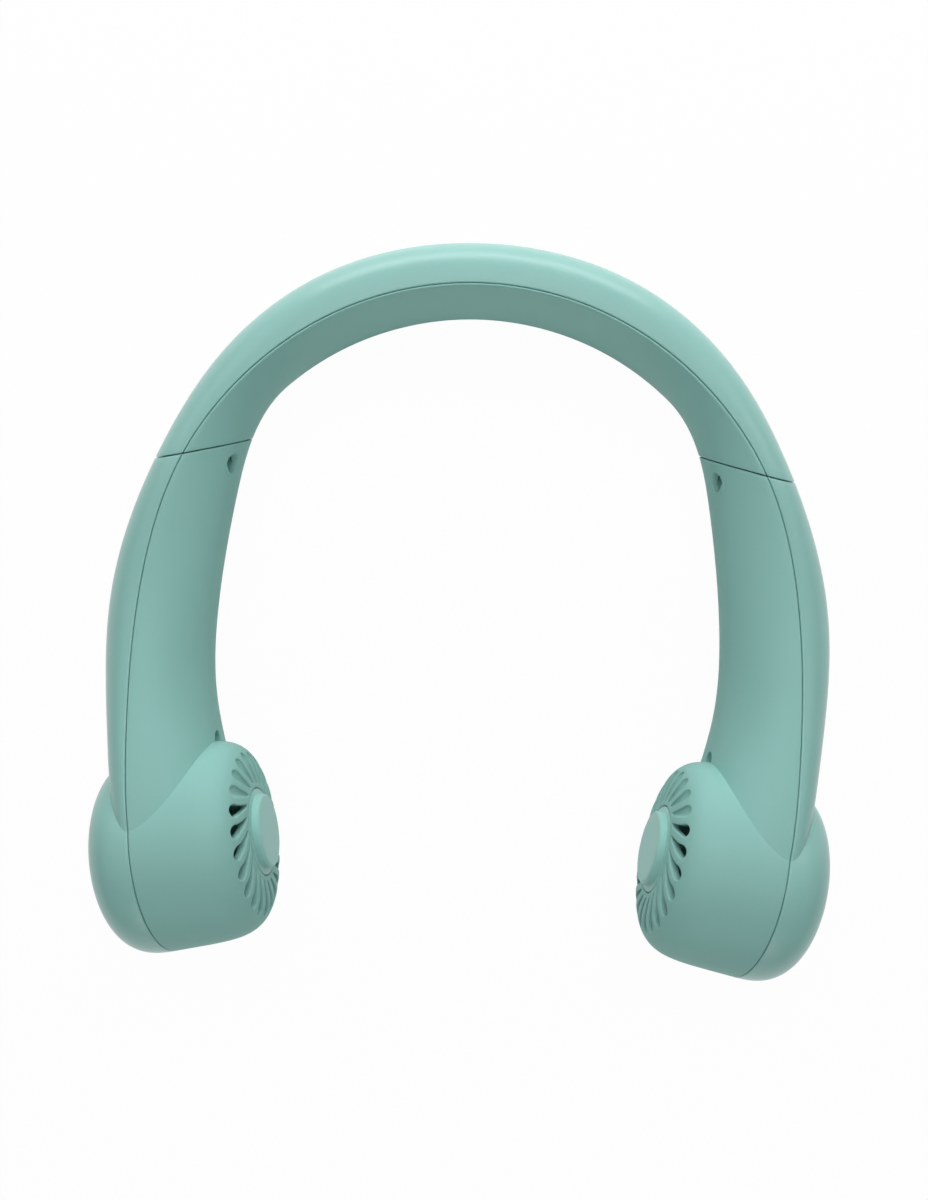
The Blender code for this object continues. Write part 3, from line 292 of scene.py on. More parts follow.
class Band:
    """The swept body of arch and arms: where it runs, and how wide and deep it is along its length."""

    def __init__(self):
        points = [(0.0, ARCH_RADIUS)]
        points += [(ARCH_RADIUS * sin(angle), ARCH_RADIUS * cos(angle)) for angle in ARCH_STATION_ANGLES]
        towards_arm = np.array([sin(HEAD_TILT), cos(HEAD_TILT)])
        points += [(ARM_SPREAD, ARM_WIDEST_Y), LOWER_ARM]
        points += [tuple(np.array([HEAD_X, HEAD_Y]) + HEAD_ENTRY * towards_arm), (HEAD_X, HEAD_Y)]
        half = np.array(points)
        reach = np.concatenate([[0.0], np.cumsum(np.linalg.norm(np.diff(half, axis=0), axis=1))])
        self.end = reach[-2]
        self.knots = np.concatenate([-reach[:0:-1], reach])
        growth = np.array(DEPTH_GROWTH_SHARES) * (ARM_HALF_DEPTH - ARCH_HALF_DEPTH)
        same_on_both_sides = (
            half[:, 1] + SHIFT_Y, np.array(LIFT_SHARES) * (HEAD_HEIGHT - ARM_HALF_DEPTH),
            OUTER_BULGE * np.array(OUTER_BULGE_SHARES), INNER_BULGE * np.array(INNER_BULGE_SHARES),
            ARCH_HALF_DEPTH + growth, np.array(CREASE_SHARES), np.array(INNER_POWERS))
        self.rows = np.array([np.concatenate([-half[:0:-1, 0], half[:, 0]])]
                             + [np.concatenate([row[:0:-1], row]) for row in same_on_both_sides])
        self.bends = bends(self.knots, self.rows)

    def values(self, along):
        """Every row of values at some lengths from the top."""
        left = np.clip(np.searchsorted(self.knots, along) - 1, 0, len(self.knots) - 2)
        width = self.knots[left + 1] - self.knots[left]
        ahead = (along - self.knots[left]) / width
        behind = 1 - ahead
        curve = (behind ** 3 - behind) * self.bends[:, left] + (ahead ** 3 - ahead) * self.bends[:, left + 1]
        return behind * self.rows[:, left] + ahead * self.rows[:, left + 1] + curve * width ** 2 / 6

    def at(self, along):
        """Plan points, outward directions, middle heights and section sizes at some lengths from the top."""
        along = np.atleast_1d(np.asarray(along, float))
        x, y, lift, outer, inner, half_depth, crease, power = self.values(along)
        tangent = self.values(along + self.end / 1000)[:2].T - np.stack([x, y], 1)
        tangent /= np.linalg.norm(tangent, axis=1)[:, None]
        outwards = np.stack([-tangent[:, 1], tangent[:, 0]], 1)
        middle = half_depth + np.maximum(0.0, lift)
        return np.stack([x, y], 1), outwards, middle, (outer, inner, half_depth, (crease, power))

    def point(self, along, out, up):
        place, outwards, middle, _ = self.at(along)
        return np.column_stack([place + out[:, None] * outwards, middle + up])

    def where(self, y):
        """Length from the top at which the right side has a given Y."""
        return float(bisect(lambda along: self.at(along)[0][:, 1] > y, np.zeros(1), self.knots[-1:], 40)[0])

    def measure(self, points, near):
        """Length along, distance out and height above the middle of points of the right arm near a length."""
        along = np.full(len(points), near)
        for _ in range(10):
            place, outwards, _, _ = self.at(along)
            tangent = np.stack([outwards[:, 1], -outwards[:, 0]], 1)
            along = along + ((points[:, :2] - place) * tangent).sum(1)
        place, outwards, middle, _ = self.at(along)
        return along, ((points[:, :2] - place) * outwards).sum(1), points[:, 2] - middle


BAND = Band()


def dome(turn, out, up):
    """Distances out and heights of points of a dome, by their angle from its upper edge."""
    round_, level = np.abs(np.sin(turn)), np.cos(turn)
    return out * round_ ** (2 / DOME_POWER), up * np.abs(level) ** (2 / DOME_POWER) * np.sign(level)


def dome_share(share):
    """How far out a dome is at a share of its half depth, or the other way round."""
    return (1 - np.clip(share, 0, 1) ** DOME_POWER) ** (1 / DOME_POWER)


def lens_out(up, bulge, half_depth, shape, start):
    crease, power = shape
    share = np.clip(np.abs(up) / half_depth, 0, 1)
    return -start - (bulge - start) * (1 - share ** power) ** (1 / crease)


def hollow(part, measures, value, wall):
    """Distances out and heights of points inside a shell, by their share of the way down."""
    outer, inner, half_depth, shape = measures
    inset, deep = sizes().gap / 2, half_depth - wall
    if part == "outer":
        out, up = dome(pi * value, outer - wall - inset, deep)
        return inset + out, up
    up = deep * np.cos(pi * value)
    return lens_out(up, inner - wall, deep, shape, inset), up


def across(path):
    """Directions to the right of a closed path at its points."""
    step = np.roll(path, -1, 0) - np.roll(path, 1, 0)
    step /= np.maximum(np.linalg.norm(step, axis=1), 1e-9)[:, None]
    return np.stack([step[:, 1], -step[:, 0]], 1)


def widened(path, distance):
    """A closed outline moved outwards."""
    return np.asarray(path) + distance * across(path)


# Stretches of a shell's section, in order
EDGE, BEND, FACE, LOWER_BEND, LOWER_EDGE, HIDDEN = range(6)


class Section:
    """A shell's closed section: each of its points has a rule that gives it at any length along the band."""

    def __init__(self, part, steps=44, lip_steps=5):
        self.part = part
        self.lip = sizes().lip
        self.inset = sizes().gap / 2
        turn = np.linspace(0, pi / 2, lip_steps)
        bend = turn[1:]
        kinds = [(EDGE, turn), (BEND, bend), (FACE, np.linspace(0, 1, steps + 2)[1:-1]),
                 (LOWER_BEND, bend[::-1]), (LOWER_EDGE, turn[::-1])]
        self.count = sum(len(values) for _, values in kinds)
        kinds.append((HIDDEN, np.linspace(1, 0, self.count)))
        self.kind = np.concatenate([np.full(len(values), kind) for kind, values in kinds])
        self.value = np.concatenate([values for _, values in kinds])

    def at(self, along):
        """Distance out and height of every point, each at its own length along the band."""
        measures = BAND.at(along)[3]
        outer, inner, half_depth, shape = measures
        lip, inset, kind, value = self.lip, self.inset, self.kind, self.value
        edge, bend = (kind == EDGE) | (kind == LOWER_EDGE), (kind == BEND) | (kind == LOWER_BEND)
        edge_out, edge_up = lip * (1 - np.cos(value)), lip * (1 - np.sin(value))
        if self.part == "outer":
            span = outer - inset
            first = np.arcsin((lip / span) ** (DOME_POWER / 2))
            last = first * (1 + BEND_SPREAD * pi / 2)
            turn = np.where(bend, first * (1 + BEND_SPREAD * value), last + (pi - 2 * last) * value)
            out, up = dome(turn, span, half_depth)
            out = inset + np.where(edge, edge_out, out)
            up = np.where(edge, half_depth * dome_share(edge_out / span) - edge_up, up)
        else:
            start = inset + lip
            up = np.where(bend, half_depth - edge_out, (half_depth - lip) * np.cos(pi * value))
            past = np.clip((np.abs(up) - half_depth + lip) / lip, 0, 1)
            out = lens_out(up, np.maximum(inner - lip, start), half_depth, shape, start)
            out = np.where(edge, -inset - edge_out, out - lip * np.sqrt(1 - past ** 2))
            up = np.where(edge, half_depth - edge_up, up)
        up = np.where((kind == LOWER_BEND) | (kind == LOWER_EDGE), -up, up)
        inside, inside_up = hollow(self.part, measures, value, WALL)
        return np.where(kind == HIDDEN, inside, out), np.where(kind == HIDDEN, inside_up, up)

    def point_at(self, along):
        return BAND.point(along, *self.at(along))

    def inwards(self, along):
        """Directions into the wall, as (out, up), for the points that show."""
        normal = across(np.stack(self.at(np.full(len(self.kind), along)), 1))
        normal[self.kind == HIDDEN] = 0
        return normal if self.part == "outer" else -normal


def seam_plane():
    """A point of the right seam and the direction across it towards the arch."""
    place, _, middle, measures = BAND.at(SEAM_ALONG)
    point = np.array([place[0, 0], place[0, 1], middle[0] + measures[2][0]])
    direction = np.array([tan(SEAM_RISE), 1.0, tan(SEAM_LEAN)])
    return point, direction / np.linalg.norm(direction)


def head_matrix(side):
    """Places a head: origin on its axis at the parting surface, Z out of the inner grille, X to the arm."""
    axis = Vector((-side * cos(HEAD_TILT), sin(HEAD_TILT), 0))
    arm = Vector((side * sin(HEAD_TILT), cos(HEAD_TILT), 0))
    turn = Matrix((arm, axis.cross(arm), axis)).transposed().to_4x4()
    return Matrix.Translation((side * HEAD_X, HEAD_Y + SHIFT_Y, HEAD_HEIGHT)) @ turn


def in_head(points, sink):
    """Whether points of the right side are deeper than a distance inside the head."""
    back = np.array(head_matrix(1).inverted())
    local = points @ back[:3, :3].T + back[:3, 3]
    radius = np.hypot(local[:, 0], local[:, 1]) / (HEAD_RADIUS - sink)
    height = local[:, 2]
    level = {part: np.abs(height) / (HEAD_DEPTHS[part] - sink) for part in PARTS}
    outer, inner = (level[part] ** HEAD_POWERS[part] + radius ** HEAD_POWERS[part] for part in PARTS)
    return np.where(height > 0, inner, outer) < 1


def loop_rows(section, starts, ends, rows, rounded_end=False):
    """Rings of a shell between its two ends, with its edge rounded at the seam."""
    lip = section.lip * SEAM_LIP_SHARE
    inwards = section.inwards(SEAM_ALONG)
    eased = [(lip * (1 - sin(turn)), lip * (1 - cos(turn))) for turn in np.linspace(pi / 2, 0, 5)]
    plan = [(starts + distance, sink) for distance, sink in eased]
    first = starts + lip
    last = ends - lip if rounded_end else ends
    plan += [(first + (last - first) * share, 0.0) for share in np.linspace(0, 1, rows)[1:]]
    if rounded_end:
        plan += [(ends - distance, sink) for distance, sink in eased[-2::-1]]
    rings = []
    for along, sink in plan:
        out, up = section.at(along)
        rings.append(BAND.point(along, out + sink * inwards[:, 0], up + sink * inwards[:, 1]))
    return rings


def quads(count, rows):
    """Faces between rows of rings of equally many points."""
    faces = []
    for here in range(0, (rows - 1) * count, count):
        for step in range(count):
            after = (step + 1) % count
            faces.append((here + step, here + after, here + count + after, here + count + step))
    return faces


def tube(rings, half):
    """Points and faces of rings, closed at each end by a strip between their outer and inner halves."""
    count = len(rings[0])
    faces = quads(count, len(rings))
    for start in (0, (len(rings) - 1) * count):
        end = start + count - 1
        faces += [(start + step, start + step + 1, end - 1 - step, end - step) for step in range(half - 1)]
    return np.concatenate(rings), faces


def skinned(rings):
    """Points and faces of rings of equally many points, filled at both ends."""
    count, last = len(rings[0]), (len(rings) - 1) * len(rings[0])
    faces = quads(count, len(rings)) + [tuple(range(count)), tuple(range(last, last + count))]
    return [point for ring in rings for point in ring], faces


def turned(profile, count, offset=0.0):
    """Points and faces of a profile of (radius, height) turned round local Z, closed at radius zero."""
    points, faces, starts = [], [], []
    angles = offset + 2 * pi * np.arange(count) / count
    for radius, height in profile:
        starts.append(len(points))
        if radius == 0:
            points.append((0.0, 0.0, height))
        else:
            points += [(radius * cos(angle), radius * sin(angle), height) for angle in angles]
    for row, (here, there) in enumerate(zip(starts, starts[1:])):
        for side in range(count):
            after = (side + 1) % count
            if profile[row][0] == 0:
                faces.append((here, there + side, there + after))
            elif profile[row + 1][0] == 0:
                faces.append((here + side, here + after, there))
            else:
                faces.append((here + side, here + after, there + after, there + side))
    return points, faces


def seam_ends(point_at, count, offset):
    """Lengths along the band at which its lines meet the right seam, moved towards the arch by an offset."""
    point, direction = seam_plane()
    low, high = np.full(count, SEAM_ALONG - SEAM_REACH), np.full(count, SEAM_ALONG + SEAM_REACH)
    return bisect(lambda along: (point_at(along) - point) @ direction > offset, low, high)


def spigot(part, half=40):
    """Points and faces of the thin rim inside an arch shell that reaches over the seam into the arm."""
    value = np.linspace(0, 1, half)
    value = np.concatenate([value, value[::-1]])
    depth = WALL + SPIGOT_PLAY + np.repeat([0.0, SPIGOT_WALL], half)

    def point_at(along):
        return BAND.point(along, *hollow(part, BAND.at(along)[3], value, depth))

    middle = seam_ends(point_at, 2 * half, 0.0)
    return tube([point_at(middle + share * SPIGOT_REACH) for share in (-1, 0, 1)], half)


def arc(centre, radius, first, last, steps=5):
    """Points of an arc as (radius, height) pairs, by angle in degrees."""
    turns = np.linspace(radians(first), radians(last), steps)
    return [(centre[0] + radius * cos(turn), centre[1] + radius * sin(turn)) for turn in turns]


def face_outwards(mesh, weld=False):
    """Turns a mesh's faces outwards, after merging doubled points where asked."""
    body = bmesh.new()
    body.from_mesh(mesh)
    if weld:
        bmesh.ops.remove_doubles(body, verts=body.verts, dist=1e-7)
    bmesh.ops.recalc_face_normals(body, faces=body.faces)
    body.to_mesh(mesh)
    body.free()


def make_mesh(name, points, faces, matrix=None, flip=1, outwards=True):
    mesh = bpy.data.meshes.new(name)
    placed = [Vector(point) for point in points]
    if matrix is not None:
        placed = [matrix @ point for point in placed]
    mesh.from_pydata([(flip * point.x, point.y, point.z) for point in placed], [], faces)
    if outwards:
        face_outwards(mesh)
    return mesh


def make_object(name, mesh):
    made = bpy.data.objects.new(name, mesh)
    bpy.context.scene.collection.objects.link(made)
    return made


def applied(made):
    """The plain mesh of an object with its modifiers worked out."""
    graph = bpy.context.evaluated_depsgraph_get()
    return bpy.data.meshes.new_from_object(made.evaluated_get(graph))


def drop(*objects):
    for made in objects:
        mesh = made.data
        bpy.data.objects.remove(made)
        if mesh.users == 0:
            bpy.data.meshes.remove(mesh)


def cut(made, cutters):
    """Takes closed cutters out of an object's mesh."""
    for cutter in cutters:
        change = made.modifiers.new(cutter.name, "BOOLEAN")
        change.operation = "DIFFERENCE"
        change.object = cutter
    result = applied(made)
    made.modifiers.clear()
    old = made.data
    made.data = result
    bpy.data.meshes.remove(old)
    drop(*cutters)


def merged(name, meshes):
    """One mesh from several."""
    body = bmesh.new()
    for mesh in meshes:
        body.from_mesh(mesh)
    result = bpy.data.meshes.new(name)
    body.to_mesh(result)
    body.free()
    return result


def finish_piece(made, material, body, nodes, angle=38):
    """Gives a finished piece its material, its body and the nodes that it stands for."""
    made.data.materials.clear()
    made.data.materials.append(material)
    for face in made.data.polygons:
        face.material_index = 0
    made.data.shade_smooth()
    made.data.set_sharp_from_angle(angle=radians(angle))
    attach(made, body)
    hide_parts(*nodes)


def height_at(radius, part, wall=0.0):
    """Height of a head's skin over its parting surface, or of the skin inside its wall."""
    share = radius / (HEAD_RADIUS - wall)
    power = HEAD_POWERS[part]
    return (HEAD_DEPTHS[part] - wall) * max(0.0, 1 - share ** power) ** (1 / power)


def grille_lean(part, radius):
    reach = SLOT_ENDS[part] - SLOT_START
    return SLOT_SWIRL * (max(0.0, SLOT_ENDS[part] - radius) / reach) ** 2


def slot_path(part):
    """Outline of a slot as (radius, across) pairs: round outer end, one flank, tip, other flank."""
    wide, narrow = sizes().slot_width / 2 * SLOT_ENDS[part] / SLOT_ENDS["inner"], sizes().slot_tip / 2
    centre = SLOT_ENDS[part] - wide
    end = SLOT_START + narrow
    flank = [(centre + (end - centre) * share, wide + (narrow - wide) * share ** SLOT_TAPER_POWER)
             for share in np.linspace(0, 1, 9)[1:-1]]
    path = [(centre + wide * cos(turn), wide * sin(turn)) for turn in np.linspace(-pi / 2, pi / 2, 9)] + flank
    path += [(end - narrow * cos(turn), narrow * sin(turn)) for turn in np.linspace(pi / 2, -pi / 2, 5)]
    return np.array(path + [(radius, -width) for radius, width in flank[::-1]])


def sector_edge(part):
    """Outline of one grille sector as (radius, turn) pairs, matched to the points of a slot's outline."""
    half = pi / SLOT_COUNT
    rim = SLOT_ENDS[part] + GRILLE_MARGIN
    radii = np.linspace(rim, GRILLE_INNER_RADIUS, 9)[1:-1]
    edge = [(rim, turn) for turn in np.linspace(-half, half, 9)] + [(radius, half) for radius in radii]
    edge += [(GRILLE_INNER_RADIUS, turn) for turn in np.linspace(half, -half, 5)]
    return edge + [(radius, -half) for radius in radii[::-1]]


def grille_sector(part, hand, through):
    """One sector of a grille with its slot, outer skin and inner skin, in the head's own axes."""
    up = 1 if part == "inner" else -1
    lip = sizes().slot_lip
    path, edge = slot_path(part), sector_edge(part)
    count = len(edge)
    rings = []

    def put(flat, sink, wall=0.0):
        """Adds a ring of points under a skin, from (radius, turn) pairs."""
        ring = []
        for (radius, turn), down in zip(flat, np.broadcast_to(sink, len(flat))):
            angle = hand * (grille_lean(part, radius) + turn)
            level = height_at(radius, part, wall) - down
            ring.append((radius * cos(angle), radius * sin(angle), up * level))
        rings.append(ring)

    def polar(flat):
        return [(radius, width / radius) for radius, width in flat]

    outside = polar(widened(path, lip))
    put(edge, 0.0)
    put([((a[0] + b[0]) / 2, (a[1] + b[1]) / 2) for a, b in zip(edge, outside)], 0.0)
    put(outside, 0.0)
    for turn in np.linspace(0, pi / 2, 5)[1:]:
        put(polar(widened(path, lip * (1 - sin(turn)))), lip * (1 - cos(turn)))
    if through:
        put(polar(path), WALL - lip)
        put(polar(widened(path, lip / 2)), -lip / 4, WALL)
        put(edge, 0.0, WALL)
        return [point for ring in rings for point in ring], quads(count, len(rings))
    middle = np.array([(SLOT_ENDS[part] + SLOT_START) / 2, 0.0])
    reach = (SLOT_ENDS[part] - SLOT_START) / 2
    for share in SCOOP_RINGS:
        inner = middle + (path - middle) * np.array([1 - (1 - share) * SCOOP_PULL, share])
        along = (inner[:, 0] - middle[0]) / reach
        bowl = (1 - share ** 2) * (SCOOP_BOWL[0] + SCOOP_BOWL[1] * along)
        put(polar(inner), lip + (sizes().scoop - lip) * np.clip(bowl, 0, SCOOP_LIMIT))
    rows = len(rings)
    put(edge, 0.0, WALL)
    caps = [tuple(range(start, start + count)) for start in ((rows - 1) * count, rows * count)]
    return [point for ring in rings for point in ring], quads(count, rows) + caps


def head_skins(part, hand):
    """Drum and hub of half a head, open where the grille goes, in the head's own axes."""
    depth, power = HEAD_DEPTHS[part], HEAD_POWERS[part]
    up = 1 if part == "inner" else -1
    lip, face = sizes().lip, sizes().gap / 2
    room, deep = HEAD_RADIUS - WALL, depth - WALL
    rim = SLOT_ENDS[part] + GRILLE_MARGIN
    first = ((face + lip) / depth) ** (power / 2)
    last = acos((rim / HEAD_RADIUS) ** (power / 2))
    drum = [(rim, height_at(rim, part, WALL))]
    for turn in np.linspace(acos((rim / room) ** (power / 2)), 0.02, 10)[1:]:
        drum.append((room * cos(turn) ** (2 / power), max(face, deep * sin(turn) ** (2 / power))))
    drum.append((room, face))
    drum += arc((HEAD_RADIUS - lip, face + lip), lip, -90, 0)
    for turn in np.linspace(first, last, 26)[1:]:
        drum.append((HEAD_RADIUS * cos(turn) ** (2 / power), depth * sin(turn) ** (2 / power)))
    floor = height_at(FLANGE_RADIUS, part) - FLANGE_THICKNESS - SEAT_DROP
    ring = FLANGE_RADIUS + SEAT_PLAY
    brink = height_at(ring + SEAT_EDGE, part)
    hub = [(GRILLE_INNER_RADIUS, height_at(GRILLE_INNER_RADIUS, part))]
    hub += arc((ring + SEAT_EDGE, brink - SEAT_EDGE), SEAT_EDGE, 90, 180, 4) + [(ring, floor), (0, floor)]
    under = [(GRILLE_INNER_RADIUS * share, height_at(GRILLE_INNER_RADIUS * share, part, WALL))
             for share in (1, 0.5, 0)]
    points, faces = [], []
    for profile, count, radius in ((drum, DRUM_SIDES, rim), (hub, HUB_SIDES, GRILLE_INNER_RADIUS),
                                   (under, HUB_SIDES, GRILLE_INNER_RADIUS)):
        begin = len(points)
        lean = hand * grille_lean(part, radius)
        more_points, more_faces = turned([(out, up * height) for out, height in profile], count, lean)
        points += more_points
        faces += [tuple(begin + corner for corner in corners) for corners in more_faces]
    return points, faces


class Tree:
    """A node tree that is built with plain calls."""

    def __init__(self, tree):
        self.tree = tree

    def link(self, value, socket):
        """Feeds a socket from a wire, from another socket or with a plain value."""
        value = value.socket if isinstance(value, Wire) else value
        if isinstance(value, bpy.types.NodeSocket):
            self.tree.links.new(value, socket)
        else:
            socket.default_value = value

    def node(self, kind, settings=None, **links):
        """Adds a node, sets its settings first and then its sockets."""
        made = self.tree.nodes.new(kind)
        for name, value in (settings or {}).items():
            setattr(made, name, value)
        for name, value in links.items():
            self.link(value, made.inputs[name])
        return made


def maths(operation, swapped=False):
    """A Wire method that adds a Math node."""
    return lambda self, other: self.math(operation, *((other, self) if swapped else (self, other)))


class Wire:
    """A socket of numbers. Sums and products of wires add Math nodes."""

    __add__, __radd__ = maths("ADD"), maths("ADD", True)
    __sub__, __rsub__ = maths("SUBTRACT"), maths("SUBTRACT", True)
    __mul__, __rmul__ = maths("MULTIPLY"), maths("MULTIPLY", True)
    __truediv__ = maths("DIVIDE")

    def __init__(self, tree, socket):
        self.tree = tree
        self.socket = socket

    def math(self, operation, *values):
        made = self.tree.node("ShaderNodeMath", {"operation": operation})
        for socket, value in zip(made.inputs, values):
            self.tree.link(value, socket)
        return Wire(self.tree, made.outputs[0])


class CopyTree(Tree):
    """A geometry tree that puts copies of objects at points and joins them to what it is given."""

    def __init__(self, name, wanted):
        self.group = bpy.data.node_groups.new(name, "GeometryNodeTree")
        super().__init__(self.group)
        for label, kind, value in (("Geometry", "Geometry", None), *wanted, ("Finish", "Material", None)):
            socket = self.group.interface.new_socket(label, in_out="INPUT", socket_type="NodeSocket" + kind)
            if value is not None:
                socket.default_value = value
        self.group.interface.new_socket("Geometry", in_out="OUTPUT", socket_type="NodeSocketGeometry")
        self.given = self.node("NodeGroupInput").outputs

    def ring(self):
        """Numbers, points and turns of equal steps round local Z."""
        points = self.node("GeometryNodePoints", Count=self.given["Count"]).outputs[0]
        index = Wire(self, self.node("GeometryNodeInputIndex").outputs[0])
        turn = index * (2 * pi) / Wire(self, self.given["Count"])
        return index, points, self.node("ShaderNodeCombineXYZ", Z=turn).outputs[0]

    def copies(self, label, points, turns, **more):
        source = self.node("GeometryNodeObjectInfo", Object=self.given[label])
        return self.node("GeometryNodeInstanceOnPoints", Points=points, Instance=source.outputs["Geometry"],
                         Rotation=turns, **more).outputs[0]

    def finish(self, *parts):
        """Joins the parts into one finished mesh, welded where the tree has such an input."""
        together = self.node("GeometryNodeJoinGeometry")
        for part in parts:
            self.tree.links.new(part, together.inputs[0])
        made = self.node("GeometryNodeRealizeInstances", Geometry=together.outputs[0])
        if "Weld" in self.given:
            distance = self.given["Weld"]
            made = self.node("GeometryNodeMergeByDistance", Geometry=made.outputs[0], Distance=distance)
        coat = self.node("GeometryNodeSetMaterial", Geometry=made.outputs[0], Material=self.given["Finish"])
        self.node("NodeGroupOutput", Geometry=coat.outputs[0])
        return self.group


def array_tree(name):
    """Sectors of two kinds in a ring, joined to the object's own skins."""
    tree = CopyTree(name, (("Count", "Int", SLOT_COUNT), ("Scoops", "Float", 0.0),
                           ("Through sector", "Object", None), ("Scoop sector", "Object", None),
                           ("Weld", "Float", 0.000002)))
    index, points, turns = tree.ring()
    half = Wire(tree, tree.given["Count"]) / 2
    away = half - index
    through = away.math("LESS_THAN", away.math("ABSOLUTE", away), half - Wire(tree, tree.given["Scoops"]))
    return tree.finish(tree.given["Geometry"], tree.copies("Through sector", points, turns, Selection=through),
                       tree.copies("Scoop sector", points, turns, Selection=1 - through))


def place_tree(name):
    """Copies of one object at the points of another, turned by the points' own angles."""
    tree = CopyTree(name, (("Piece", "Object", None), ("Angles", "String", None)))
    kind = {"data_type": "FLOAT_VECTOR"}
    turns = tree.node("GeometryNodeInputNamedAttribute", kind, Name=tree.given["Angles"])
    return tree.finish(tree.copies("Piece", tree.given["Geometry"], turns.outputs["Attribute"]))


def spread_tree(name):
    """Copies of one object in a ring round local Z, joined to the object's own mesh."""
    tree = CopyTree(name, (("Count", "Int", 1), ("Piece", "Object", None)))
    _, points, turns = tree.ring()
    return tree.finish(tree.given["Geometry"], tree.copies("Piece", points, turns))


def grown(made, group, values):
    """Runs a geometry tree on an object and returns the plain mesh."""
    change = made.modifiers.new(group.name, "NODES")
    change.node_group = group
    for item in group.interface.items_tree:
        if item.in_out == "INPUT" and item.name in values:
            change[item.identifier] = values[item.name]
    result = applied(made)
    made.modifiers.clear()
    return result


class Paint(Tree):
    """A material whose Principled shader is fed by procedural nodes."""

    def __init__(self, name):
        self.material = bpy.data.materials.new(name)
        self.material.use_nodes = True
        super().__init__(self.material.node_tree)
        self.shader = self.tree.nodes["Principled BSDF"]
        self.place = self.node("ShaderNodeTexCoord").outputs["Object"]

    def noise(self, scale, detail=3.0, roughness=0.5):
        made = self.node(
            "ShaderNodeTexNoise", Vector=self.place, Scale=scale, Detail=detail, Roughness=roughness)
        return Wire(self, made.outputs["Fac"])

    def mix(self, share, first, second):
        made = self.node("ShaderNodeMix", {"data_type": "RGBA"})
        for number, value in ((0, share), (6, first), (7, second)):
            self.link(value, made.inputs[number])
        return made.outputs[2]

    def bump(self, height, distance):
        made = self.node("ShaderNodeBump", Height=height, Distance=distance, Strength=1.0)
        self.feed("Normal", made.outputs[0])

    def feed(self, name, value):
        self.link(value, self.shader.inputs[name])


def shade(colour, factor):
    return (*[min(1.0, channel * factor) for channel in colour[:3]], 1.0)


def moulded(name, colour, roughness, shine=0.22):
    """Moulded plastic with a fine even texture and slight unevenness in colour and gloss."""
    paint = Paint(name)
    cloud = paint.noise(38.0, 2.0)
    fine = paint.noise(5200.0, 2.0, 0.6)
    paint.feed("Base Color", paint.mix(cloud, shade(colour, 0.97), shade(colour, 1.03)))
    paint.feed("Roughness", roughness - 0.03 + 0.04 * cloud + 0.03 * fine)
    paint.feed("Specular IOR Level", shine)
    paint.bump(fine, 0.000012)
    return paint.material


def plain_metal(name, colour, roughness):
    """Turned or drawn metal with fine marks."""
    paint = Paint(name)
    marks = paint.noise(900.0, 4.0, 0.65)
    cloud = paint.noise(90.0, 2.0)
    paint.feed("Base Color", paint.mix(cloud, shade(colour, 0.9), shade(colour, 1.06)))
    paint.feed("Metallic", 1.0)
    paint.feed("Roughness", roughness - 0.06 + 0.14 * marks)
    paint.bump(marks, 0.000006)
    return paint.material


def wound_copper(name, colour):
    """Enamelled winding: fine ridges of wire, with painted shade in the grooves between turns and a painted
    highlight on their tops.
    """
    paint = Paint(name)
    wave = paint.node("ShaderNodeTexWave", {"wave_type": "BANDS", "bands_direction": "DIAGONAL"},
                      Vector=paint.place, Scale=1100.0, Distortion=0.6, Detail=1.0)
    ridge_with_painted_shade = Wire(paint, wave.outputs["Fac"])
    # Painted shade in the grooves and a painted highlight on the wire tops, following the same ridges as the
    # bump.
    paint.feed("Base Color", paint.mix(ridge_with_painted_shade, shade(colour, 0.55), shade(colour, 1.1)))
    paint.feed("Metallic", 1.0)
    paint.feed("Roughness", 0.42 - 0.12 * ridge_with_painted_shade)
    paint.bump(ridge_with_painted_shade, 0.00008)
    return paint.material


def circuit_board(name, colour):
    """Solder resist over copper tracks."""
    paint = Paint(name)
    cells = paint.node("ShaderNodeTexVoronoi", {"distance": "MANHATTAN"}, Vector=paint.place, Scale=900.0)
    track = Wire(paint, cells.outputs["Distance"])
    track = track.math("GREATER_THAN", track, 0.42)
    paint.feed("Base Color", paint.mix(track, shade(colour, 0.8), shade(colour, 1.7)))
    paint.feed("Roughness", 0.34 + 0.1 * track)
    paint.bump(track, 0.00002)
    return paint.material


def shrink_sleeve(name, colour):
    """Glossy film pulled tight, with faint ripples."""
    paint = Paint(name)
    ripple = paint.noise(260.0, 2.0)
    paint.feed("Base Color", paint.mix(ripple, shade(colour, 0.85), shade(colour, 1.15)))
    paint.feed("Roughness", 0.26 + 0.1 * ripple)
    paint.bump(ripple, 0.00005)
    return paint.material


def clear_guide(name, colour):
    """Clear plastic of the light guide."""
    paint = Paint(name)
    haze = paint.noise(600.0, 2.0)
    paint.feed("Base Color", paint.mix(haze, shade(colour, 0.92), shade(colour, 1.0)))
    paint.feed("Roughness", 0.12 + 0.1 * haze)
    paint.feed("Transmission Weight", 0.55)
    paint.feed("IOR", 1.49)
    return paint.material


FINISHES = {}


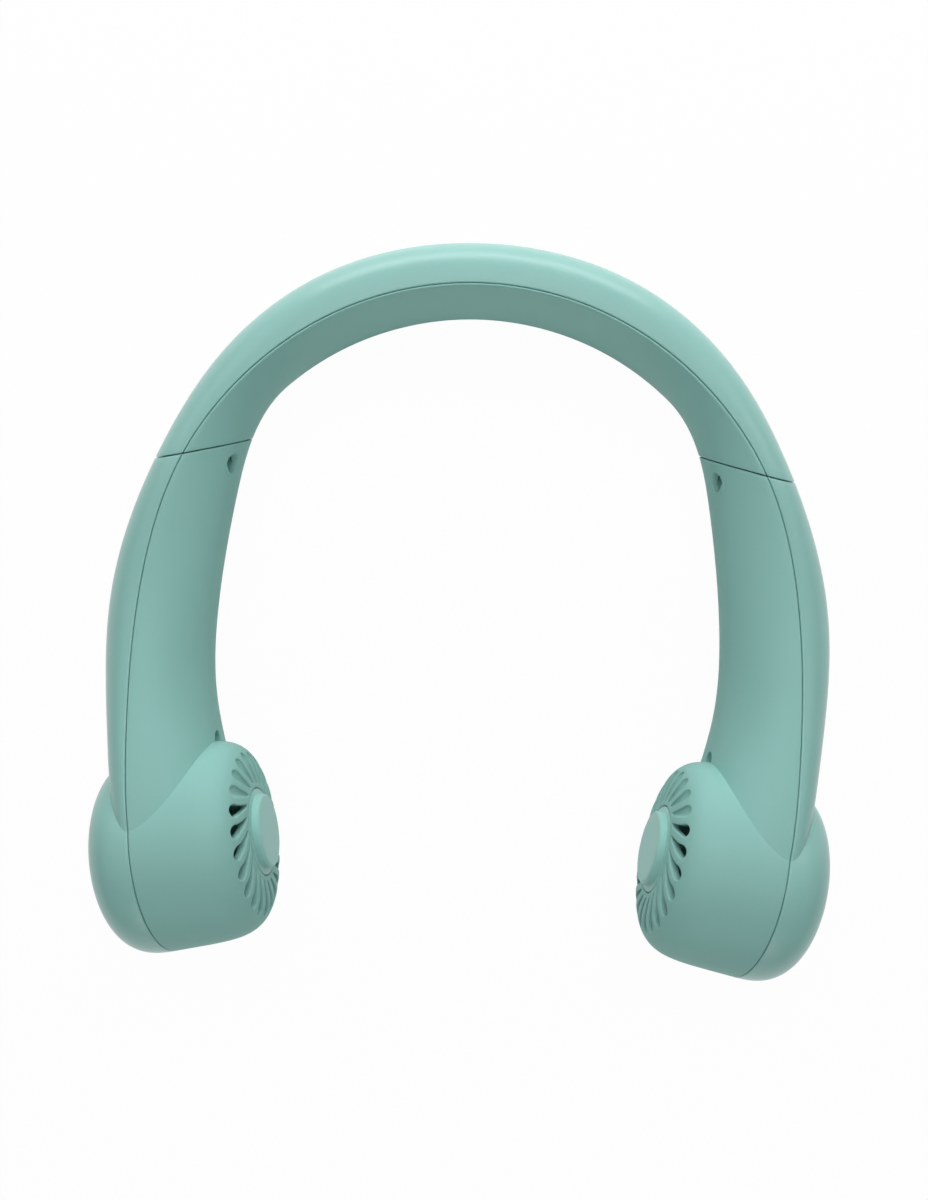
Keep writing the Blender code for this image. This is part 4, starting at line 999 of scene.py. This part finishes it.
def finishes():
    """Every finish, made once."""
    if not FINISHES:
        colours = bpy.context.scene.neck_fan_colours
        FINISHES["outer"] = moulded("satin_mint", colours.shell, 0.28, 0.28)
        FINISHES["inner"] = moulded("matt_mint", colours.shell, 0.5, 0.08)
        # The caps take the shell colour lightened by a tenth. This is painted light for the brighter fill that
        # the caps catch; they are also a separate moulding.
        FINISHES["cap"] = moulded("satin_mint_cap_painted_light", [1.1 * channel for channel in colours.shell], 0.38)
        FINISHES["mint_plastic"] = moulded("wheel_plastic", colours.inside, 0.45)
        FINISHES["grey_plastic"] = moulded("grey_mount_plastic", colours.frame, 0.5)
        FINISHES["black_plastic"] = moulded("black_moulding", slot_colour("black_plastic"), 0.5)
        FINISHES["steel"] = plain_metal("plain_steel", colours.metal, 0.3)
        FINISHES["copper_winding"] = wound_copper("copper_wire", slot_colour("copper_winding"))
        FINISHES["green_board"] = circuit_board("solder_resist", slot_colour("green_board"))
        FINISHES["cell_sleeve"] = shrink_sleeve("cell_film", colours.sleeve)
        FINISHES["light_guide_plastic"] = clear_guide("clear_guide_plastic", slot_colour("light_guide_plastic"))
    return FINISHES


def screw_matrix(name, y, height, side=1):
    """Screw axis in an arm: origin in the inner shell's surface, local Z out of the hole."""
    along = BAND.where(y + SHIFT_Y)
    for _ in range(3):
        place, outwards, middle, (_, inner, half_depth, shape) = BAND.at(along)
        surface = place[0] + lens_out(height - middle, inner, half_depth, shape, 0.0)[0] * outwards[0]
        along = BAND.where(place[0, 1] + y + SHIFT_Y - surface[1])
    out = (cos(SEAM_RISE), -sin(SEAM_RISE)) if name == "upper" else outwards[0]
    axis = Vector((-side * out[0], -out[1], 0))
    up = Vector((0, 0, 1))
    turn = Matrix((up.cross(axis), up, axis)).transposed().to_4x4()
    return Matrix.Translation((side * surface[0], surface[1], height)) @ turn


def skin_heights(part, matrix, flat):
    """Heights along local Z at which lines through flat points meet the right arm's skin."""
    matrix = np.array(matrix)
    near = BAND.where(matrix[1, 3])
    lip, inset = sizes().lip, sizes().gap / 2

    def inside(level):
        local = np.column_stack([flat, level])
        along, out, up = BAND.measure(local @ matrix[:3, :3].T + matrix[:3, 3], near)
        _, _, _, (outer, inner, half_depth, shape) = BAND.at(along)
        if part == "outer":
            return out < inset + (outer - inset) * dome_share(np.abs(up) / half_depth)
        return out > lens_out(up, inner - lip, half_depth, shape, inset + lip) - lip

    return bisect(inside, np.full(len(flat), -SKIN_SEARCH), np.full(len(flat), SKIN_SEARCH))


def hole_cutter(name, part, matrix, outline, depth, edge, side=1):
    """A closed cutter whose mouth is rounded all round where it meets the skin."""
    plan = [(outline, -depth)]
    for turn in np.linspace(0, pi / 2, 5):
        grown_outline = widened(outline, edge * (1 - cos(turn)))
        plan.append((grown_outline, skin_heights(part, matrix, grown_outline) - edge * (1 - sin(turn))))
    plan.append((widened(outline, edge * CUTTER_SPREAD), CUTTER_HEIGHT))
    rings = [np.column_stack([flat, np.broadcast_to(level, len(flat))]) for flat, level in plan]
    return make_object(name, make_mesh(name, *skinned(rings), matrix, side))


def ring_outline(radius, count=48, x=0.0):
    turns = [2 * pi * step / count for step in range(count)]
    return [(x + radius * cos(turn), radius * sin(turn)) for turn in turns]


def long_outline(width, height, x=0.0, steps=12):
    """A slot outline with round ends."""
    radius = height / 2
    reach = width / 2 - radius
    return [(x + side * (reach + radius * cos(turn)), side * radius * sin(turn))
            for side in (1, -1) for turn in np.linspace(-pi / 2, pi / 2, steps + 1)]


def control_matrix():
    """Control axes: origin in the right arm's outer skin, local X towards the arch, local Z outwards."""
    place, outwards, middle, (outer, _, half_depth, _) = BAND.at(BAND.where(CONTROL_Y + SHIFT_Y))
    place, outwards, outer, half_depth = place[0], outwards[0], outer[0], half_depth[0]
    out = outer * dome_share(CONTROL_DROP_SHARE)
    slope_out = (out / outer) ** (DOME_POWER - 1) / outer
    slope_down = CONTROL_DROP_SHARE ** (DOME_POWER - 1) / half_depth
    normal = Vector((outwards[0] * slope_out, outwards[1] * slope_out, -slope_down)).normalized()
    arm = Vector((-outwards[1], outwards[0], 0))
    turn = Matrix((arm, normal.cross(arm), normal)).transposed().to_4x4()
    x, y = place + out * outwards
    return Matrix.Translation((x, y, middle[0] - CONTROL_DROP_SHARE * half_depth)) @ turn


def screw_sleeve():
    """Wall of a screw's counterbore below the shell, as (radius, height)."""
    shank, bore, wall = SLEEVE_RADII
    mouth, brim = SLEEVE_LEVELS
    seat, end = -SCREW_HOLE_DEPTH, -SCREW_HOLE_DEPTH - SLEEVE_FOOT
    return [(shank, end), (shank, seat), (bore, seat), (bore, mouth), (wall, brim), (wall, end), (shank, end)]


def arm_mesh(part, side):
    """One half of an arm, from the seam to under the head's skin, and its meshes with the holes and sleeves."""
    section = Section(part)
    count = len(section.kind)
    starts = seam_ends(section.point_at, count, -sizes().seam / 2)
    ends = bisect(lambda along: ~in_head(section.point_at(along), ARM_SINK),
                  np.full(count, SEAM_ALONG + HEAD_SEARCH), np.full(count, float(BAND.knots[-1])))
    paired = ends[:section.count]
    ends = np.concatenate([paired, paired[::-1]])
    shape = tube(loop_rows(section, starts, ends, ARM_ROWS), section.count)
    name = f"{part}_arm"
    made = make_object(name, make_mesh(name, *shape, None, side))
    meshes, cutters = [], []
    if part == "inner":
        for label, y, height in SCREW_PLACES:
            matrix = screw_matrix(label, y, height)
            cutters.append(hole_cutter(label, part, matrix, ring_outline(SCREW_HOLE_RADIUS), SCREW_CUT_DEPTH,
                                       SCREW_CUT_EDGE, side))
            sleeve = make_mesh(label + "_sleeve", *turned(screw_sleeve(), 48), matrix, side)
            face_outwards(sleeve, weld=True)
            meshes.append(sleeve)
    elif side == 1:
        outlines = [ring_outline(BUTTON_RADIUS + BUTTON_PLAY, 48, BUTTON_ALONG),
                    long_outline(PORT_WIDTH + PORT_PLAY, PORT_HEIGHT + PORT_PLAY, PORT_ALONG)]
        for number in range(LIGHT_COUNT):
            x = LIGHT_PITCH * (number - (LIGHT_COUNT - 1) / 2)
            outlines.append(ring_outline(LIGHT_RADIUS + LIGHT_PLAY, 24, x))
        for number, outline in enumerate(outlines):
            cutters.append(hole_cutter(f"control_{number}", part, control_matrix(), outline, CONTROL_CUT_DEPTH,
                                       CONTROL_CUT_EDGE))
    if cutters:
        cut(made, cutters)
    return made, meshes + [made.data]


def head_mesh(part, side, group):
    """Half a head with its grille."""
    shapes = {"through_sector": grille_sector(part, side, True),
              "scoop_sector": grille_sector(part, side, False), "head_skins": head_skins(part, side)}
    through, scoop, base = (make_object(name, make_mesh(name, *shape, outwards=False))
                            for name, shape in shapes.items())
    mesh = grown(base, group, {"Scoops": SCOOPS_EACH_WAY, "Through sector": through, "Scoop sector": scoop,
                               "Finish": finishes()[part]})
    drop(through, scoop, base)
    mesh.transform(head_matrix(side))
    face_outwards(mesh, weld=True)
    return mesh


class NECKFAN_OT_arch(bpy.types.Operator):
    """Makes the arch's two shells, from seam to seam, with rounded edges"""

    bl_idname = "neckfan.arch"
    bl_label = "Arch"

    def execute(self, context):
        for part in PARTS:
            section = Section(part)
            ends = seam_ends(section.point_at, len(section.kind), sizes().seam / 2)
            name = f"arch_{part}"
            rings = loop_rows(section, -ends, ends, ARCH_ROWS, rounded_end=True)
            meshes = [make_mesh(name, *tube(rings, section.count))]
            meshes += [make_mesh(name + "_spigot", *spigot(part), flip=side) for side in SIDES.values()]
            made = make_object(name, merged(name, meshes))
            finish_piece(made, finishes()[part], "housing", [f"arch_{part}_shell"])
        return {"FINISHED"}


class NECKFAN_OT_arms(bpy.types.Operator):
    """Makes each arm's two shells with their halves of the fan head, grilles and screw holes"""

    bl_idname = "neckfan.arms"
    bl_label = "Arms and heads"

    def execute(self, context):
        group = array_tree("grille")
        for side_name, side in SIDES.items():
            for part in PARTS:
                arm, meshes = arm_mesh(part, side)
                meshes.append(head_mesh(part, side, group))
                name = f"{side_name}_{part}"
                made = make_object(name, merged(name, meshes))
                bpy.data.objects.remove(arm)
                finish_piece(made, finishes()[part], "housing", [f"{name}_shell"])
        return {"FINISHED"}


def cap_profile(part):
    seat = height_at(FLANGE_RADIUS, part)
    top = seat + CAP_RISE
    edge = sizes().cap_edge
    profile = [(0, seat - FLANGE_THICKNESS), (FLANGE_RADIUS, seat - FLANGE_THICKNESS)]
    profile += arc((FLANGE_RADIUS - CAP_RIM, seat - CAP_RIM), CAP_RIM, 0, 90, 4)
    profile += arc((CAP_RADIUS + CAP_FILLET, seat + CAP_FILLET), CAP_FILLET, 270, 180, 4)
    profile += arc((CAP_RADIUS - edge, top - edge), edge, 0, 90, 9)
    return profile + [(CAP_RADIUS * 0.6, top), (0, top)]


class NECKFAN_OT_caps(bpy.types.Operator):
    """Makes the round caps in the middle of the grilles"""

    bl_idname = "neckfan.caps"
    bl_label = "Caps"

    def execute(self, context):
        for side_name, side in SIDES.items():
            for part in PARTS:
                up = 1 if part == "inner" else -1
                profile = [(radius, up * height) for radius, height in cap_profile(part)]
                name = f"{side_name}_{part}_disc"
                made = make_object(name, make_mesh(name, *turned(profile, 144), head_matrix(side)))
                nodes = [f"{side_name}_{part}_cap"]
                finish_piece(made, finishes()["cap"], "housing", nodes, 50)
        return {"FINISHED"}


def blade_mesh(hand, steps=14):
    """A swept blade as a closed curved plate with eased edges."""
    inner, outer = BLADE_RADII
    share = np.linspace(0, 1, steps + 1)
    radius = inner + share * (outer - inner)
    angle = hand * BLADE_SWEEP * share ** BLADE_CURVE_POWER
    thick = np.clip(np.minimum(share, 1 - share) * BLADE_EASE + BLADE_TIP_SHARE, 0, 1)
    half = BLADE_THICKNESS / 2 * thick / radius
    turns = np.concatenate([angle + half, (angle - half)[::-1]])
    radii = np.concatenate([radius, radius[::-1]])
    ring = (radii * np.cos(turns), radii * np.sin(turns))
    rings = [np.column_stack([*ring, np.full(len(radii), height)]) for height in BLADE_HEIGHTS]
    return make_mesh("blade", *tube(rings, steps + 1))


class NECKFAN_OT_wheels(bpy.types.Operator):
    """Makes the fan wheels with their swept blades"""

    bl_idname = "neckfan.wheels"
    bl_label = "Fan wheels"

    def execute(self, context):
        group = spread_tree("blades")
        finish = finishes()["mint_plastic"]
        inner, outer = HUB_RADII
        low, roof, crown = HUB_HEIGHTS
        under, top = DISC_HEIGHTS
        rim = sum(BLADE_RADII) / 2
        ease = HUB_EASE
        profile = [(0, roof), (inner, roof), (inner, low), (outer, low), (outer, under - ease)]
        profile += arc((outer + ease, under - ease), ease, 180, 90, 4)[1:]
        profile += [(rim, under)] + arc((rim, (under + top) / 2), (top - under) / 2, -90, 90)
        profile += [(outer + ease, top)] + arc((outer + ease, top + ease), ease, 270, 180, 4)[1:]
        profile += arc((outer - ease, crown - ease), ease, 0, 90) + [(0, crown)]
        for side_name, side in SIDES.items():
            hub = make_object("hub", make_mesh("hub", *turned(profile, HUB_SIDES)))
            blade = make_object("blade", blade_mesh(side))
            mesh = grown(hub, group, {"Count": BLADE_COUNT, "Piece": blade, "Finish": finish})
            drop(hub, blade)
            mesh.transform(head_matrix(side))
            made = make_object(f"{side_name}_wheel", mesh)
            finish_piece(made, finish, f"{side_name}_rotor", [f"{side_name}_impeller"])
        return {"FINISHED"}


class NECKFAN_OT_screws(bpy.types.Operator):
    """Makes the screws with their cross recesses"""

    bl_idname = "neckfan.screws"
    bl_label = "Screws"

    def execute(self, context):
        seat = SCREW_LIFT - SCREW_HOLE_DEPTH
        tip, top = seat - SCREW_LENGTH, seat + SCREW_HEAD_HEIGHT
        core, edge = SCREW_RADIUS * SCREW_CORE_SHARE, SCREW_HEAD_EDGE
        profile = [(0, tip), (SCREW_RADIUS / 2, tip)]
        for turn in range(THREAD_TURNS):
            low = tip + SCREW_TIP + THREAD_PITCH * turn
            profile.append((core, low))
            profile += [(SCREW_RADIUS, low + THREAD_PITCH * share) for share in (0.4, 0.5)]
        profile += [(core, seat), (SCREW_HEAD_RADIUS, seat)]
        profile += arc((SCREW_HEAD_RADIUS - edge, top - edge), edge, 0, 90) + [(0, top)]
        screw = make_object("screw", make_mesh("screw", *turned(profile, 40)))
        corners = [(CROSS_REACH, -CROSS_HALF), (CROSS_REACH, CROSS_HALF), (CROSS_HALF, CROSS_HALF)]
        cross = [(x * cos(turn) - y * sin(turn), x * sin(turn) + y * cos(turn))
                 for turn in (0, pi / 2, pi, 3 * pi / 2) for x, y in corners]
        rings = [[(x * share, y * share, top + level) for x, y in cross] for share, level in CROSS_LEVELS]
        cut(screw, [make_object("recess", make_mesh("recess", *skinned(rings)))])
        places = [screw_matrix(*place, side) for side in SIDES.values() for place in SCREW_PLACES]
        points = bpy.data.meshes.new("screw_points")
        points.from_pydata([place.translation for place in places], [], [])
        turns = points.attributes.new("angles", "FLOAT_VECTOR", "POINT")
        for row, place in zip(turns.data, places):
            row.vector = place.to_euler()
        holder = make_object("screws", points)
        finish = finishes()["steel"]
        values = {"Piece": screw, "Angles": "angles", "Finish": finish}
        holder.data = grown(holder, place_tree("screws"), values)
        drop(screw)
        bpy.data.meshes.remove(points)
        nodes = [f"{side_name}_{place[0]}_screw" for side_name in SIDES for place in SCREW_PLACES]
        finish_piece(holder, finish, "housing", nodes)
        return {"FINISHED"}


def button_mesh(row):
    flange, step = BUTTON_RADIUS + BUTTON_FLANGE[0], -BUTTON_BACK - BUTTON_FLANGE[1]
    stem, end = BUTTON_STEM
    dish = BUTTON_RADIUS - BUTTON_EDGE
    profile = [(0, end), (stem, end), (stem, step), (flange, step), (flange, -BUTTON_BACK),
               (BUTTON_RADIUS, -BUTTON_BACK), (BUTTON_RADIUS, -BUTTON_EDGE)]
    profile += arc((dish, -BUTTON_EDGE), BUTTON_EDGE, 0, 75)[1:]
    profile += [(dish * share, BUTTON_RISE * (1 - share ** 2) * BUTTON_DISH_SHARE)
                for share in np.linspace(0.9, 0, 8)]
    return make_mesh("button_cap", *turned(profile, 72), row @ Matrix.Translation((BUTTON_ALONG, 0, 0)))


def port_mesh(row):
    """Sheet shell and tongue of the receptacle."""
    sheet, lip, top = PORT_SHEET, PORT_SHEET / 2, -PORT_SINK
    rings = []
    for inset, level in ((0, PORT_BACK), (0, top - lip), (lip * 0.3, top - lip * 0.3), (lip, top),
                         (sheet - lip * 0.3, top - lip * 0.3), (sheet, top - lip), (sheet, PORT_FLOOR)):
        outline = long_outline(PORT_WIDTH - 2 * inset, PORT_HEIGHT - 2 * inset, PORT_ALONG)
        rings.append([(x, y, level) for x, y in outline])
    shell = make_mesh("port_shell", *skinned(rings), row)
    wide, thick = (size / 2 for size in PORT_TONGUE)
    tongue = [[(PORT_ALONG + x * wide * share, y * thick * share, level)
               for x, y in ((-1, -1), (1, -1), (1, 1), (-1, 1))]
              for share, level in ((1, PORT_FLOOR - 0.0002), (1, top - 0.0007), (0.93, top - 0.0006))]
    return merged("charging_port", [shell, make_mesh("port_tongue", *skinned(tongue), row)])


class NECKFAN_OT_controls(bpy.types.Operator):
    """Makes the power button and the charging receptacle"""

    bl_idname = "neckfan.controls"
    bl_label = "Button and port"

    def execute(self, context):
        row = control_matrix()
        made = make_object("button_cap", button_mesh(row))
        finish_piece(made, finishes()["grey_plastic"], "button", ["power_button"], 50)
        made = make_object("charging_port", port_mesh(row))
        finish_piece(made, finishes()["steel"], "housing", ["usb_c_port"])
        return {"FINISHED"}


class NECKFAN_OT_inner_parts(bpy.types.Operator):
    """Gives the solids that stay as they are their finishes"""

    bl_idname = "neckfan.inner_parts"
    bl_label = "Inner parts"

    def execute(self, context):
        for row in FRAME["record"]["subparts"]:
            finish = finishes()[row["material_slot"]]
            node = NODES[row["node"]]
            if not node.material_slots:
                node.data.materials.append(finish)
            for slot in node.material_slots:
                slot.material = finish
        return {"FINISHED"}


class NECKFAN_OT_stage(bpy.types.Operator):
    """Makes the floor, the lamps, the world and the camera"""

    bl_idname = "neckfan.stage"
    bl_label = "Studio"

    def execute(self, context):
        scene = context.scene
        mesh = bpy.data.meshes.new("floor")
        corners = [(x * FLOOR_REACH, y * FLOOR_REACH, FLOOR_HEIGHT)
                   for x, y in ((-1, -1), (1, -1), (1, 1), (-1, 1))]
        mesh.from_pydata(corners, [], [(0, 1, 2, 3)])
        floor = make_object("floor", mesh)
        mesh.materials.append(self.floor_finish())
        self.world(scene)
        for lamp in LAMPS:
            self.lamp(*lamp)
        camera = bpy.data.cameras.new("photo_camera")
        camera.lens = CAMERA_LENS
        camera.sensor_width = 36.0
        camera.clip_start = 0.01
        camera.clip_end = 20.0
        turn = Matrix.Rotation(CAMERA_ROLL, 3, "Z") @ Matrix.Rotation(CAMERA_YAW, 3, "Y")
        back = (turn @ Matrix.Rotation(CAMERA_PITCH, 3, "X")).transposed()
        place = Vector(CAMERA_POINT) + Vector((0, SHIFT_Y, 0)) + back @ Vector((0, 0, CAMERA_DISTANCE))
        scene.camera = make_object("photo_camera", camera)
        scene.camera.matrix_world = Matrix.Translation(place) @ back.to_4x4()
        scene.view_settings.view_transform = "Standard"
        return {"FINISHED"}

    def lamp(self, name, place, size, power):
        """A soft lamp that points at the fan, with its width level."""
        light = bpy.data.lights.new(name, "AREA")
        light.shape = "RECTANGLE"
        light.size, light.size_y = size
        light.energy = power
        aim = Vector(LAMP_AIM) - Vector(place)
        turn = aim.to_track_quat("-Z", "Y").to_matrix().to_4x4()
        make_object(name, light).matrix_world = Matrix.Translation(place) @ turn

    def floor_finish(self):
        """Pale floor that keeps the fan's shadow and shows white to the camera."""
        paint = Paint("pale_floor")
        paint.feed("Base Color", (0.86, 0.86, 0.86, 1.0))
        paint.feed("Roughness", 0.9)
        path = paint.node("ShaderNodeLightPath").outputs
        seen = Wire(paint, path["Is Camera Ray"])
        for kind in ("Is Glossy Ray", "Is Transmission Ray"):
            seen = seen.math("MAXIMUM", seen, path[kind])
        white = paint.node("ShaderNodeEmission", Color=(1, 1, 1, 1), Strength=1.0)
        self.blend(paint, seen * FLOOR_WHITE_SHARE, paint.shader, white, "Material Output")
        return paint.material

    def world(self, scene):
        """Even pale surroundings."""
        scene.world = bpy.data.worlds.new("pale_room")
        scene.world.use_nodes = True
        tree = Tree(scene.world.node_tree)
        path = tree.node("ShaderNodeLightPath").outputs
        plain, white = (tree.node("ShaderNodeBackground", Color=(1, 1, 1, 1), Strength=level)
                        for level in (0.1, 1.0))
        self.blend(tree, path["Is Camera Ray"], plain, white, "World Output")

    def blend(self, tree, share, first, second, output):
        """Mixes two shaders into an output."""
        mixed = tree.node("ShaderNodeMixShader", Fac=share)
        tree.link(first.outputs[0], mixed.inputs[1])
        tree.link(second.outputs[0], mixed.inputs[2])
        tree.link(mixed.outputs[0], tree.tree.nodes[output].inputs["Surface"])


PIECES = (NECKFAN_OT_arch, NECKFAN_OT_arms, NECKFAN_OT_caps, NECKFAN_OT_wheels, NECKFAN_OT_screws,
          NECKFAN_OT_controls, NECKFAN_OT_inner_parts, NECKFAN_OT_stage)


class NECKFAN_PT_panel(bpy.types.Panel):
    """Lists the fan's pieces and their sizes and colours"""

    bl_idname = "NECKFAN_PT_panel"
    bl_label = "Neck fan"
    bl_space_type = "VIEW_3D"
    bl_region_type = "UI"
    bl_category = "Neck fan"

    def draw(self, context):
        layout = self.layout
        for group in (context.scene.neck_fan_sizes, context.scene.neck_fan_colours):
            column = layout.column()
            for name in group.__annotations__:
                column.prop(group, name)
        for operator in PIECES:
            layout.operator(operator.bl_idname)


CLASSES = (NeckFanSizes, NeckFanColours, *PIECES, NECKFAN_PT_panel)


def register():
    for made in CLASSES:
        bpy.utils.register_class(made)
    bpy.types.Scene.neck_fan_sizes = bpy.props.PointerProperty(type=NeckFanSizes)
    bpy.types.Scene.neck_fan_colours = bpy.props.PointerProperty(type=NeckFanColours)


def unregister():
    del bpy.types.Scene.neck_fan_sizes
    del bpy.types.Scene.neck_fan_colours
    for made in reversed(CLASSES):
        bpy.utils.unregister_class(made)


def main():
    register()
    for operator in PIECES:
        getattr(bpy.ops.neckfan, operator.bl_idname.split(".")[1])()


if __name__ == "__main__":
    main()
